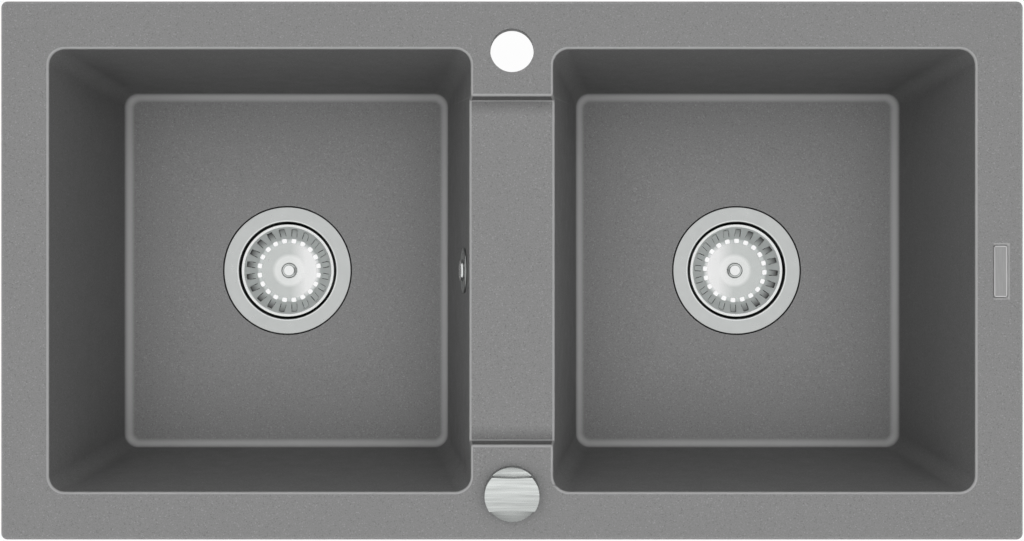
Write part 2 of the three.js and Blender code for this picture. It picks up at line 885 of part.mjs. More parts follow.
// Turned base with a grip bar across it, whose two sides draw in a little at the waist.
function knobCap() {
  const radius = knobDiameter / 2;
  const chamfered = (bottom, top) =>
    turned([[0, bottom], [radius, bottom], [radius, top - 1], [radius - 1, top], [0, top]], shownSides);
  const end = radius + 1;
  const side = gripWidth / 2;
  const waist = side - 2 * gripWaist;
  const bar = new THREE.Shape();
  bar.moveTo(-end, -side).quadraticCurveTo(0, -waist, end, -side);
  bar.lineTo(end, side).quadraticCurveTo(0, waist, -end, side);
  const prism = extruded(bar, knobHeight, 6).translate(0, 0, knobUnderside);
  const grip = solid(chamfered(knobUnderside, knobHeight)).intersect(solid(prism));
  const socket = rod(
    spindleDiameter + 2 * clearance,
    knobUnderside - 1,
    knobUnderside + spindleGrip + clearance,
  );
  return joined(chamfered(knobUnderside, knobBaseHeight), {
    add: [geometryOf(grip)],
    cut: [socket],
  });
}

function knobBezel() {
  const outer = bezelDiameter / 2;
  const inner = housingFlangeDiameter / 2 + clearance;
  const bore = spindleDiameter / 2 + clearance;
  const under = bezelHeight - bezelSheet;
  return turned(
    [
      [bore, under],
      [inner, under],
      [inner, 0],
      [outer, 0],
      [outer, bezelHeight - 0.4],
      [outer - 0.4, bezelHeight],
      [bore, bezelHeight],
    ],
    shownSides,
  );
}

function knobHousing() {
  const bore = spindleDiameter / 2 + clearance;
  const outer = housingDiameter / 2;
  const inner = outer - housingWall;
  const flange = housingFlangeDiameter / 2;
  const shell = turned(
    [
      [bore, housingFlangeThickness],
      [flange, housingFlangeThickness],
      [flange, 0],
      [outer, 0],
      [outer, housingFoot],
      [inner, housingFoot],
      [inner, -housingBearing],
      [bore, -housingBearing],
    ],
  );
  const port = alongY(rod(ferruleDiameter + 2 * clearance, -outer / 2, housingWall));
  return joined(shell, { cut: [port.translate(...cablePort.toArray())] });
}

function housingCap() {
  const outer = housingDiameter / 2;
  const plug = outer - housingWall - clearance;
  const seat = housingFoot - clearance;
  return turned(
    [
      [0, seat - housingWall],
      [outer, seat - housingWall],
      [outer, seat],
      [plug, seat],
      [plug, seat + housingWall],
      [0, seat + housingWall],
    ],
  );
}

function knobSpindle() {
  const foot = housingFoot + housingWall;
  return rod(spindleDiameter, foot, knobUnderside + spindleGrip);
}

function cableDrum() {
  const bore = spindleDiameter / 2 + clearance;
  const core = drumDiameter / 2;
  const flange = drumFlangeDiameter / 2;
  const half = drumHeight / 2;
  const winding = half - drumFlangeThickness;
  const drum = turned(
    [
      [bore, -half],
      [flange, -half],
      [flange, -winding],
      [core, -winding],
      [core, winding],
      [flange, winding],
      [flange, half],
      [bore, half],
    ],
  );
  return drum.translate(0, 0, -drumDepth);
}

function knobWasher() {
  const top = -deckThickness;
  return ring(housingDiameter + 2 * clearance, washerDiameter, top - washerThickness, top);
}

function knobLocknut() {
  const hole = circle(housingDiameter + 2 * clearance, hiddenSides);
  const top = -deckThickness - washerThickness;
  const nut = extruded(outlineShape(circle(nutDiameter / Math.cos(Math.PI / 6), 6), [hole]), nutThickness);
  return nut.translate(0, 0, top - nutThickness);
}

// ---------------------------------------------------------------- overflow, square to its wall

const rosetteTop = clearance + rosetteThickness;
const gasketFace = -(wallAlongAxis + clearance);
const elbowFace = gasketFace - overflowGasketThickness - clearance;
const elbowBack = elbowFace - elbowFlangeThickness - elbowDepth;
const elbowFloor = elbowBack + plasticThickness;
const spigotHeight = (elbowFace - elbowFlangeThickness + elbowBack) / 2;
const downWall = (geometry) => alongX(geometry).rotateZ(Math.PI);

function overflowRosette() {
  const bore = overflowScrewDiameter / 2 + clearance;
  const outer = rosetteDiameter / 2;
  const plate = turned(
    [
      [bore, clearance],
      [outer, clearance],
      [outer, clearance + rosetteThickness / 2],
      [outer - rosetteThickness / 2, rosetteTop],
      [bore, rosetteTop],
    ],
    shownSides,
  );
  const inner = domeDiameter / 2 + 1.5;
  const slotLength = outer - 2 * rosetteThickness;
  const cut = Array.from({ length: rosetteSlots }, (_, slot) => {
    const gap = block(inner, slotLength, -rosetteSlotWidth / 2, rosetteSlotWidth / 2, 0, rosetteTop + 1);
    return aroundAxis(gap, (slot * 360) / rosetteSlots);
  });
  return joined(plate, { cut });
}

function overflowScrew() {
  const seat = rosetteTop + clearance;
  const shank = overflowScrewDiameter / 2;
  const dome = domeDiameter / 2;
  return turned(
    [
      [0, elbowFloor + clearance],
      [shank, elbowFloor + clearance],
      [shank, seat],
      [dome, seat],
      [dome * 0.92, seat + domeHeight / 2],
      [dome * 0.6, seat + domeHeight * 0.87],
      [0, seat + domeHeight],
    ],
  );
}

function overflowGasket() {
  const face = gasketFace - overflowGasketThickness;
  return ring(overflowHoleDiameter + 1, elbowFlangeDiameter, face, gasketFace);
}

function overflowElbow() {
  const flange = elbowFlangeDiameter / 2;
  const outer = elbowDiameter / 2;
  const inner = outer - plasticThickness;
  const bore = overflowScrewDiameter / 2 + clearance;
  const boss = bore + plasticThickness;
  const body = turned(
    [
      [0, elbowBack],
      [outer, elbowBack],
      [outer, elbowFace - elbowFlangeThickness],
      [flange, elbowFace - elbowFlangeThickness],
      [flange, elbowFace],
      [inner, elbowFace],
      [inner, elbowFloor],
      [boss, elbowFloor],
      [boss, elbowFace],
      [bore, elbowFace],
      [bore, elbowFloor],
      [0, elbowFloor],
    ],
  );
  const spigot = downWall(rod(spigotDiameter, inner + plasticThickness / 2, outer + spigotLength));
  const spigotWay = downWall(rod(spigotBore, boss + 1, outer + spigotLength + 1));
  return joined(body, {
    add: [spigot.translate(0, 0, spigotHeight)],
    cut: [spigotWay.translate(0, 0, spigotHeight)],
  });
}

// ---------------------------------------------------------------- hose and cable

// From the elbow down behind the wall, round under the bowl and level into the left waste body.
function hosePath() {
  const down = new THREE.Vector3(-1, 0, 0).applyAxisAngle(new THREE.Vector3(0, 1, 0), overflowTurn);
  const start = new THREE.Vector3(-(elbowDiameter / 2 + hoseGap), 0, spigotHeight)
    .applyAxisAngle(new THREE.Vector3(0, 1, 0), overflowTurn)
    .add(overflowPlace);
  const inlet = floorLevel - inletDepth;
  const end = new THREE.Vector3(-bowlCentre + bodyDiameter / 2 + hoseGap, 0, inlet);
  const corner = start.clone().addScaledVector(down, (inlet - start.z) / down.z);
  const bendStart = corner.clone().addScaledVector(down, -hoseBend);
  const bendEnd = corner.clone().add(new THREE.Vector3(-hoseBend, 0, 0));
  const path = new THREE.CurvePath();
  path.add(new THREE.LineCurve3(start, bendStart));
  path.add(new THREE.QuadraticBezierCurve3(bendStart, corner, bendEnd));
  path.add(new THREE.LineCurve3(bendEnd, end));
  return path;
}

// Ribs of two rings each, round a smooth bore that has a ring every five ribs.
function ribbedHose(path) {
  const ribs = Math.floor(path.getLength() / ribPitch);
  const rings = 2 * ribs;
  const frames = path.computeFrenetFrames(rings, false);
  const bore = (spigotDiameter / 2 + clearance) / Math.cos(Math.PI / hoseSides);
  const positions = [];
  const index = [];
  const addRing = (step, radius) => {
    const centre = path.getPointAt(step / rings);
    for (let side = 0; side < hoseSides; side += 1) {
      const angle = (side / hoseSides) * 2 * Math.PI;
      const point = centre.clone();
      point.addScaledVector(frames.normals[step], radius * Math.cos(angle));
      point.addScaledVector(frames.binormals[step], radius * Math.sin(angle));
      positions.push(...point.toArray());
    }
    return positions.length / 3 - hoseSides;
  };
  const bridge = (first, second) => {
    for (let side = 0; side < hoseSides; side += 1) {
      const next = (side + 1) % hoseSides;
      index.push(first + side, first + next, second + next);
      index.push(first + side, second + next, second + side);
    }
  };
  const outside = Array.from({ length: rings + 1 }, (_, step) =>
    addRing(step, (step % 2 ? hoseValleyDiameter : hoseCrestDiameter) / 2),
  );
  const inside = [];
  for (let step = 0; step < rings; step += 10) inside.push(addRing(step, bore));
  inside.push(addRing(rings, bore));
  const skin = [...outside, ...inside.reverse(), outside[0]];
  skin.slice(1).forEach((ringStart, i) => bridge(skin[i], ringStart));
  const geometry = new THREE.BufferGeometry();
  geometry.setAttribute('position', new THREE.Float32BufferAttribute(positions, 3));
  return closed(geometry.setIndex(index));
}

// Sheathed cable from the left waste's port under the bowl and up between the bowls to the knob.
function liftCable() {
  const out = aroundAxisPoint(new THREE.Vector3(portEnd + cableSeat, 0, -cableDepth));
  const straight = aroundAxisPoint(new THREE.Vector3(portEnd + cableSeat + cableLeadIn, 0, -cableDepth));
  const knobEnd = cablePort.clone().add(new THREE.Vector3(0, knobY + cableSeat, rimTop));
  const knobStraight = knobEnd.clone().add(new THREE.Vector3(0, cableLeadIn, 0));
  const route = [
    out,
    straight,
    ...cableRoute.map((point) => new THREE.Vector3(...point)),
    knobStraight,
    knobEnd,
  ];
  const extrudePath = new THREE.CatmullRomCurve3(route, false, 'centripetal');
  const steps = Math.round(extrudePath.getLength() / (2.5 * cableDiameter));
  const section = outlineShape(circle(cableDiameter, 8));
  return closed(new THREE.ExtrudeGeometry(section, { steps, extrudePath, bevelEnabled: false }));
}

// A point given about the left waste's axis in the crank's plane, in the sink's frame.
function aroundAxisPoint(point) {
  const turn = THREE.MathUtils.degToRad(mechanismAngle);
  point.applyAxisAngle(new THREE.Vector3(0, 0, 1), turn);
  return point.add(new THREE.Vector3(-bowlCentre, 0, floorLevel));
}

function hoseCollar() {
  const inner = hoseCrestDiameter + 2 * clearance;
  const start = hoseGap + collarSetback;
  return ring(inner, inner + 2 * collarThickness, start, start + collarWidth);
}

// ---------------------------------------------------------------- finishes and assembly

const granite = { color: 0x8a8a8a, roughness: 0.6, metalness: 0 };
const steel = { color: 0xc9c9c9, roughness: 0.28, metalness: 1 };
const rubber = { color: 0x232323, roughness: 0.9, metalness: 0 };
const plastic = { color: 0x2d2d2f, roughness: 0.5, metalness: 0 };
const greyPlastic = { color: 0x9a9a9a, roughness: 0.5, metalness: 0 };

function piece(name, geometry, finish) {
  const mesh = new THREE.Mesh(geometry, new THREE.MeshStandardMaterial(finish));
  mesh.name = name;
  return mesh;
}

function groupAt(x, y, z) {
  const group = new THREE.Group();
  group.position.set(x, y, z);
  return group;
}

function wasteAssembly(side, x) {
  const left = side === 'left';
  const group = groupAt(x, 0, floorLevel);
  group.add(
    piece(`${side}_waste_cup`, wasteCup(), steel),
    piece(`${side}_cup_floor`, cupFloor(), steel),
    piece(`${side}_cup_gasket`, cupGasket(), rubber),
    piece(`${side}_body_gasket`, bodyGasket(), rubber),
    piece(`${side}_waste_body`, left ? overflowWasteBody() : plainWasteBody(), plastic),
    piece(`${side}_waste_outlet`, wasteOutlet(), plastic),
    piece(`${side}_clamp_screw`, clampScrew(left ? liftPinDiameter + 2 * clearance : 0), steel),
    piece(`${side}_basket`, basket(left ? leftSlotAngle : rightSlotAngle), steel),
    piece(`${side}_basket_knob`, basketKnob(), steel),
    piece(`${side}_basket_seal`, basketSeal(), rubber),
  );
  return group;
}

function liftMechanism() {
  const group = groupAt(-bowlCentre, 0, floorLevel);
  group.rotation.z = THREE.MathUtils.degToRad(mechanismAngle);
  const wasteFerrule = piece('waste_ferrule', ferrule(ferruleInsert), steel);
  wasteFerrule.rotation.y = Math.PI / 2;
  wasteFerrule.position.set(portEnd, 0, -cableDepth);
  group.add(
    piece('lift_pin', liftPin(), steel),
    piece('lift_rocker', liftCrank(), greyPlastic),
    piece('rocker_pin', rockerPin(), steel),
    wasteFerrule,
  );
  return group;
}

function knobAssembly() {
  const group = groupAt(0, knobY, rimTop);
  const knobFerrule = piece('knob_ferrule', ferrule(housingWall + clearance), steel);
  knobFerrule.rotation.x = -Math.PI / 2;
  knobFerrule.position.copy(cablePort);
  group.add(
    piece('knob_cap', knobCap(), steel),
    piece('knob_bezel', knobBezel(), steel),
    piece('knob_spindle', knobSpindle(), steel),
    piece('cable_drum', cableDrum(), greyPlastic),
    piece('knob_housing', knobHousing(), plastic),
    piece('housing_cap', housingCap(), plastic),
    piece('knob_washer', knobWasher(), rubber),
    piece('knob_locknut', knobLocknut(), greyPlastic),
    knobFerrule,
  );
  return group;
}

function overflowAssembly() {
  const group = groupAt(...overflowPlace.toArray());
  group.rotation.y = overflowTurn;
  const collar = downWall(hoseCollar()).translate(-elbowDiameter / 2, 0, spigotHeight);
  group.add(
    piece('overflow_rosette', overflowRosette(), steel),
    piece('overflow_screw', overflowScrew(), steel),
    piece('overflow_gasket', overflowGasket(), rubber),
    piece('overflow_elbow', overflowElbow(), plastic),
    piece('elbow_collar', collar, plastic),
  );
  return group;
}

function clipAssembly([name, x, y, turn]) {
  const group = groupAt(x, y, 0);
  group.rotation.z = turn;
  group.add(
    piece(`clip_arm_${name}`, clipArm(), steel),
    piece(`clip_screw_${name}`, clipScrew(), steel),
  );
  return group;
}

const inletCollar = piece('inlet_collar', alongX(hoseCollar()), plastic);
inletCollar.position.set(-bowlCentre + bodyDiameter / 2, 0, floorLevel - inletDepth);

const sink = new THREE.Group();
sink.add(
  piece('sink_body', sinkBody(), granite),
  piece('rim_seal', sealRing(0, sealThickness, clearance), rubber),
  piece(
    'badge_plate',
    plateSlab(0, rimTop - plateRecess, rimTop - plateRecess + plateThickness).translate(plateX, 0, 0),
    steel,
  ),
  wasteAssembly('left', -bowlCentre),
  wasteAssembly('right', bowlCentre),
  liftMechanism(),
  knobAssembly(),
  overflowAssembly(),
  piece('overflow_hose', ribbedHose(hosePath()), greyPlastic),
  inletCollar,
  piece('lift_cable', liftCable(), plastic),
  ...clipPlaces.map(clipAssembly),
);

export default sink;
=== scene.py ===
"""A grey composite double bowl kitchen sink, seen straight from above.

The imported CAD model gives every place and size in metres. The finished pieces stand on it.
"""

import math

import bpy
from mathutils import Euler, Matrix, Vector


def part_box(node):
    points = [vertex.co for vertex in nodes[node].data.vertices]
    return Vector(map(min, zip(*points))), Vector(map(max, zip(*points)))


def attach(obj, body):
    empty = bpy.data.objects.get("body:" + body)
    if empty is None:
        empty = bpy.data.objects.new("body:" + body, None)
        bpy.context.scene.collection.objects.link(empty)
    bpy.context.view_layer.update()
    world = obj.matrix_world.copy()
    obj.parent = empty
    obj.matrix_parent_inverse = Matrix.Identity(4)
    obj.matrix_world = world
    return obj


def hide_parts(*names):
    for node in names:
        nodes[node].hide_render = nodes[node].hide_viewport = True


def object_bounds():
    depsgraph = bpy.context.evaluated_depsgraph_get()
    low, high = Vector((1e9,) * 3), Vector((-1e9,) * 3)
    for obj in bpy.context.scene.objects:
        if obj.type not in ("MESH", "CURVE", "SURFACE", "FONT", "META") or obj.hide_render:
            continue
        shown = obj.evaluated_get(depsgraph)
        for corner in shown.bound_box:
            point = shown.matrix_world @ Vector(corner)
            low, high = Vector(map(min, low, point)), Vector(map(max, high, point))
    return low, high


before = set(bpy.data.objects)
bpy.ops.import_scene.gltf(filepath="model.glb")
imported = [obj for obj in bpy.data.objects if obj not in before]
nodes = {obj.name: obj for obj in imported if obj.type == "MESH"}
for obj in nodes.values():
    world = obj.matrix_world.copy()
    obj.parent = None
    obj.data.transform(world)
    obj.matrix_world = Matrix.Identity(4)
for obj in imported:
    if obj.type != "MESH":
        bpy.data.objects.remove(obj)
cad_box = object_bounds()

# --- Room and camera ------------------------------------------------------------------------
# The sink is photographed on white from 1.54 m straight above its rim. A white dome lights it,
# brightest overhead, as under a big softbox. The floor is pale and keeps a soft shadow.

CAMERA_HEIGHT = 1.537
CAMERA_LENS = 67.4
FLOOR_SIZE = 8.0
FLOOR_WHITE = 0.8
FLOOR_GLOW = 0.97
DOME_BASE = 0.12
DOME_TOP = 3.52
DOME_FALL = 6.0
GLOSS_WHITE = 1.0

scene = bpy.context.scene
scene.view_settings.view_transform = "Standard"
rim_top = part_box("sink_body")[1].z

bpy.ops.object.select_all(action="DESELECT")
bpy.ops.object.camera_add(location=(0, 0, rim_top + CAMERA_HEIGHT), rotation=(0, 0, 0))
camera = bpy.context.object
camera.name = "camera"
camera.data.lens = CAMERA_LENS
camera.data.sensor_width = 36
camera.data.clip_end = 40
scene.camera = camera


def new_material(name):
    """An empty node material with its nodes, its links and its output."""
    material = bpy.data.materials.new(name)
    material.use_nodes = True
    tree = material.node_tree
    tree.nodes.clear()
    output = tree.nodes.new("ShaderNodeOutputMaterial")
    return material, tree, output


def calculate(tree, operation, first, second):
    """A math node. Each input is a number or another node's output."""
    node = tree.nodes.new("ShaderNodeMath")
    node.operation = operation
    for socket, value in zip(node.inputs, (first, second)):
        if isinstance(value, (int, float)):
            socket.default_value = value
        else:
            tree.links.new(value, socket)
    return node.outputs[0]


def seen_directly(tree):
    """1 for camera, glossy and transmission rays, 0 for the rays that light the object."""
    ray = tree.nodes.new("ShaderNodeLightPath").outputs
    total = calculate(tree, "ADD", ray["Is Camera Ray"], ray["Is Glossy Ray"])
    total = calculate(tree, "ADD", total, ray["Is Transmission Ray"])
    total.node.use_clamp = True
    return total


world = bpy.data.worlds.new("white_dome")
world.use_nodes = True
world.cycles.sampling_method = "NONE"
scene.world = world
tree = world.node_tree
height = tree.nodes.new("ShaderNodeSeparateXYZ")
direction = tree.nodes.new("ShaderNodeTexCoord")
tree.links.new(direction.outputs["Generated"], height.inputs[0])
overhead = calculate(tree, "POWER", calculate(tree, "MAXIMUM", height.outputs["Z"], 0.0), DOME_FALL)
lighting = calculate(tree, "ADD", calculate(tree, "MULTIPLY", overhead, DOME_TOP), DOME_BASE)
seen = seen_directly(tree)
shown = calculate(tree, "MULTIPLY", seen, GLOSS_WHITE)
hidden = calculate(tree, "MULTIPLY", calculate(tree, "SUBTRACT", 1.0, seen), lighting)
dome = tree.nodes["Background"]
dome.inputs["Color"].default_value = (1, 1, 1, 1)
tree.links.new(calculate(tree, "ADD", shown, hidden), dome.inputs["Strength"])

bpy.ops.mesh.primitive_plane_add(size=FLOOR_SIZE, location=(0, 0, cad_box[0][2] - 0.001))
floor = bpy.context.object
floor.name = "floor"
floor_white, tree, output = new_material("floor_white")
diffuse = tree.nodes.new("ShaderNodeBsdfDiffuse")
diffuse.inputs["Color"].default_value = (FLOOR_WHITE, FLOOR_WHITE, FLOOR_WHITE, 1)
glow = tree.nodes.new("ShaderNodeEmission")
glow.inputs["Strength"].default_value = 1.0
mix = tree.nodes.new("ShaderNodeMixShader")
tree.links.new(calculate(tree, "MULTIPLY", seen_directly(tree), FLOOR_GLOW), mix.inputs["Fac"])
tree.links.new(diffuse.outputs[0], mix.inputs[1])
tree.links.new(glow.outputs[0], mix.inputs[2])
tree.links.new(mix.outputs[0], output.inputs["Surface"])
floor.data.materials.append(floor_white)

# --- Sink body ------------------------------------------------------------------------------
# One moulding of crushed stone in resin: a flat rim with a rounded edge, two tapering bowls with
# small corners, and a bridge between them that is lowered a finger's width. It is cast in a
# mould, so every edge is rounded and the surface has a fine matt grain.

RIM_WIDTH = 0.0384
RIM_CORNER = 0.005
RIM_ROUND = 0.0026
DIVIDER = 0.0658
BOWL_LENGTH = 0.3387
BOWL_DEPTH = 0.3552
BOWL_CORNER = 0.0125
BOWL_EDGE = 0.002
TAPER_RUN = 0.182
SIDE_TAPER = 0.0243
END_TAPER = 0.019
FLOOR_LEVEL = -0.180
FLOOR_FALL = 0.0015
FLOOR_FILLET = 0.008
FLAT_SHARE = 0.45
WALL = 0.009
UNDERSIDE = -0.192
BRIDGE_LENGTH = 0.280
BRIDGE_TOP = -0.001
BRIDGE_THICKNESS = 0.009
STEP_DRAFT = 0.0027
STEP_FOOT = 0.0012
BRIDGE_FADE = 0.011
BRIDGE_DISH = 0.0002
DECK_UNDERSIDE = -0.007
DECK_WIDTH = 0.060
DECK_SETBACK = 0.014
HOLE_RADIUS = 0.0175
TAP_HOLE_SETBACK = 0.0394
KNOB_SETBACK = 0.0372
WASTE_HOLE_RADIUS = 0.045
FLANGE_RECESS_RADIUS = 0.0581
FLANGE_RECESS = 0.0032
OVERFLOW_DEPTH = 0.047
OVERFLOW_RADIUS = 0.015
CLIP_SETBACK = 0.021
CLIP_SPREAD = 0.205
CLIP_BOSS_RADIUS = 0.006
CLIP_BOSS_DEPTH = 0.014
CLIP_BORE_RADIUS = 0.0028
CLIP_BORE_END = -0.003
SEAL_SETBACK = 0.007
SEAL_WIDTH = 0.006
SEAL_DEPTH = 0.002
SEAL_CORNER = 0.006
PLATE_SETBACK = 0.0182
PLATE_Y = -0.0007
PLATE_RECESS = 0.0008
PLATE_HALF = (0.0055, 0.0208)
STRIP_AREA = 4e-4
CUT_PAST = 0.010
UPRIGHT = 0.004
SHARP_ANGLE = 30
# Strengths of the painted highlights on the stone's rounded edges.
OUTER_HIGHLIGHT = 0.35
FILLET_HIGHLIGHT = 0.85
STEP_HIGHLIGHT = 0.5
MOUTH_HIGHLIGHT = 0.85
# Painted shade marks for the floor's edge, the floor, the bridge's steps and the bridge beside them.
FLOOR_EDGE_SHADE = 0.17
FLOOR_SHADE = 0.08
STEP_SHADE = 0.45
BRIDGE_SHADE = 0.36
STONE_GRAIN = 900.0
STONE_DARK = 0.18
STONE_MIDDLE = 0.24
STONE_PALE = 0.33
STONE_HIGHLIGHT = 0.45
# How dark the painted shade makes the walls' middle, the walls' foot and the flange recess's bottom.
WALL_MIDDLE = 0.76
WALL_FOOT = 0.59
CREVICE = 0.08

HALF_LENGTH = RIM_WIDTH + BOWL_LENGTH + DIVIDER / 2
HALF_DEPTH = RIM_WIDTH + BOWL_DEPTH / 2
BOWL_CENTRE = (DIVIDER + BOWL_LENGTH) / 2
KNOB_Y = -(HALF_DEPTH - KNOB_SETBACK)
TAP_HOLE_Y = HALF_DEPTH - TAP_HOLE_SETBACK
SIDE_LEAN = math.atan(SIDE_TAPER / TAPER_RUN)
NEAR = 1e-5


def choose(obj):
    """Makes the object the only selected one, and the active one."""
    bpy.ops.object.select_all(action="DESELECT")
    obj.select_set(True)
    bpy.context.view_layer.objects.active = obj


def set_place(obj):
    """Moves the object's place, turn and size into its mesh."""
    choose(obj)
    bpy.ops.object.transform_apply(location=True, rotation=True, scale=True)
    return obj


def moved(obj, turn=(0, 0, 0), place=(0, 0, 0)):
    """Turns the piece, then moves it."""
    obj.rotation_euler = turn
    obj.location = place
    return set_place(obj)


def box_piece(name, low, high):
    """A cube between two corners."""
    middle = [(a + b) / 2 for a, b in zip(low, high)]
    size = [b - a for a, b in zip(low, high)]
    bpy.ops.mesh.primitive_cube_add(size=1, location=middle, scale=size)
    bpy.context.object.name = name
    return set_place(bpy.context.object)


def rod(radius, length, middle, turn=(0, 0, 0), sides=64):
    """A cylinder about its middle."""
    bpy.ops.mesh.primitive_cylinder_add(
        vertices=sides, radius=radius, depth=length, location=middle, rotation=turn
    )
    return set_place(bpy.context.object)


def round_piece(name, radius, bottom, top, place=(0, 0), sides=64):
    """An upright cylinder between two heights."""
    piece = rod(radius, top - bottom, (place[0], place[1], (bottom + top) / 2), sides=sides)
    piece.name = name
    return piece


def pick(obj, kind, test):
    """Enters edit mode with only the edges or faces selected that pass the test."""
    choose(obj)
    bpy.ops.object.mode_set(mode="EDIT")
    bpy.ops.mesh.select_mode(type=kind)
    bpy.ops.mesh.select_all(action="DESELECT")
    bpy.ops.object.mode_set(mode="OBJECT")
    mesh = obj.data
    parts = {"VERT": mesh.vertices, "EDGE": mesh.edges, "FACE": mesh.polygons}[kind]
    for part in parts:
        ids = [part.index] if kind == "VERT" else part.vertices
        part.select = test([mesh.vertices[i].co for i in ids])
    bpy.ops.object.mode_set(mode="EDIT")


def done():
    """Leaves edit mode."""
    bpy.ops.object.mode_set(mode="OBJECT")


def bevel(obj, test, width, segments):
    """Rounds the edges that pass the test."""
    pick(obj, "EDGE", test)
    bpy.ops.mesh.bevel(offset=width, segments=segments, affect="EDGES", clamp_overlap=False)
    done()


def modify(obj, kind, **settings):
    """Gives the object a modifier with these settings and applies it."""
    bpy.context.view_layer.objects.active = obj
    modifier = obj.modifiers.new(kind.lower(), kind)
    for name, value in settings.items():
        setattr(modifier, name, value)
    bpy.ops.object.modifier_apply(modifier=modifier.name)


def combine(obj, operation, others):
    """Joins the other pieces to this one or cuts them away, one by one, and deletes them."""
    for other in others:
        modify(obj, "BOOLEAN", operation=operation, object=other, solver="MANIFOLD")
        bpy.data.objects.remove(other)


def join(obj, *others):
    """Adds the other pieces to this one."""
    combine(obj, "UNION", others)


def cut(obj, *others):
    """Cuts the other pieces out of this one."""
    combine(obj, "DIFFERENCE", others)


def taller(height):
    """A test for the edges that rise more than this."""
    return lambda points: abs(points[0].z - points[1].z) > height


def at_height(z):
    """A test for what lies at this height."""
    return lambda points: all(abs(p.z - z) < NEAR for p in points)


def bowl_block(name, side, grow, top, bottom, corner, fillet):
    """A tapering block with a bowl's outline, grown outwards, with its corners and foot rounded."""
    cx = side * BOWL_CENTRE

    def half(z):
        lean = (rim_top - z) / TAPER_RUN
        x = BOWL_LENGTH / 2 - SIDE_TAPER * lean + grow
        return x, BOWL_DEPTH / 2 - END_TAPER * lean + grow

    x, y = half(top)
    block = box_piece(name, (cx - x, -y, bottom), (cx + x, y, top))
    foot_x, foot_y = half(bottom)
    pick(block, "FACE", at_height(bottom))
    bpy.ops.transform.resize(value=(foot_x / x, foot_y / y, 1), center_override=(cx, 0, bottom))
    done()
    bevel(block, taller(UPRIGHT), corner, 10)
    bevel(block, at_height(bottom), fillet, 8)
    return block


body = box_piece(
    "composite_sink", (-HALF_LENGTH, -HALF_DEPTH, 0), (HALF_LENGTH, HALF_DEPTH, rim_top)
)
bevel(body, taller(UPRIGHT), RIM_CORNER, 6)
bevel(body, at_height(rim_top), RIM_ROUND, 5)

in_rim = rim_top / 2
for side in (-1, 1):
    shell = bowl_block(
        "shell", side, WALL, in_rim, UNDERSIDE, BOWL_CORNER + WALL, FLOOR_FILLET + WALL
    )
    join(body, shell)
web = (DIVIDER - WALL) / 2
web_length = BRIDGE_LENGTH / 2 + BRIDGE_THICKNESS
deck_end = HALF_DEPTH - DECK_SETBACK
web_bottom = BRIDGE_TOP - BRIDGE_THICKNESS
for half, front, back, bottom in (
    (web, -web_length, web_length, web_bottom),
    (DECK_WIDTH / 2, BRIDGE_LENGTH / 2, deck_end, DECK_UNDERSIDE),
    (DECK_WIDTH / 2, -deck_end, -BRIDGE_LENGTH / 2, DECK_UNDERSIDE),
):
    join(body, box_piece("web", (-half, front, bottom), (half, back, in_rim)))
clip_x = HALF_LENGTH - CLIP_SETBACK
clip_y = HALF_DEPTH - CLIP_SETBACK
clip_places = {
    "front_left": (-CLIP_SPREAD, -clip_y),
    "front_right": (CLIP_SPREAD, -clip_y),
    "back_left": (-CLIP_SPREAD, clip_y),
    "back_right": (CLIP_SPREAD, clip_y),
    "left": (-clip_x, 0),
    "right": (clip_x, 0),
}
for place in clip_places.values():
    boss = round_piece("boss", CLIP_BOSS_RADIUS, -CLIP_BOSS_DEPTH, in_rim, place, 32)
    join(body, boss)

floor_edge = FLOOR_LEVEL + FLOOR_FALL
for side in (-1, 1):
    cavity = bowl_block("cavity", side, 0, rim_top + CUT_PAST, floor_edge, BOWL_CORNER, FLOOR_FILLET)
    pick(cavity, "FACE", at_height(floor_edge))
    bpy.ops.mesh.extrude_region_move()
    middle = (side * BOWL_CENTRE, 0, FLOOR_LEVEL)
    bpy.ops.transform.resize(value=(FLAT_SHARE, FLAT_SHARE, 1), center_override=middle)
    bpy.ops.transform.translate(value=(0, 0, -FLOOR_FALL))
    done()
    cut(body, cavity)
room_top = BRIDGE_LENGTH / 2 + STEP_DRAFT * CUT_PAST / (rim_top - BRIDGE_TOP)
room = box_piece(
    "bridge_room", (-DIVIDER, -room_top, BRIDGE_TOP), (DIVIDER, room_top, rim_top + CUT_PAST)
)
pick(room, "FACE", at_height(BRIDGE_TOP))
draft = (BRIDGE_LENGTH / 2 - STEP_DRAFT) / room_top
bpy.ops.transform.resize(value=(1, draft, 1), center_override=(0, 0, BRIDGE_TOP))
done()


def step_foot(points):
    """The edges along the foot of the bridge's steps."""
    return at_height(BRIDGE_TOP)(points) and abs(points[0].x - points[1].x) > DIVIDER


bevel(room, step_foot, STEP_FOOT, 3)
pick(room, "FACE", at_height(BRIDGE_TOP))
bpy.ops.mesh.inset(thickness=BRIDGE_FADE, depth=0)
bpy.ops.transform.translate(value=(0, 0, -BRIDGE_DISH))
done()
cut(body, room)

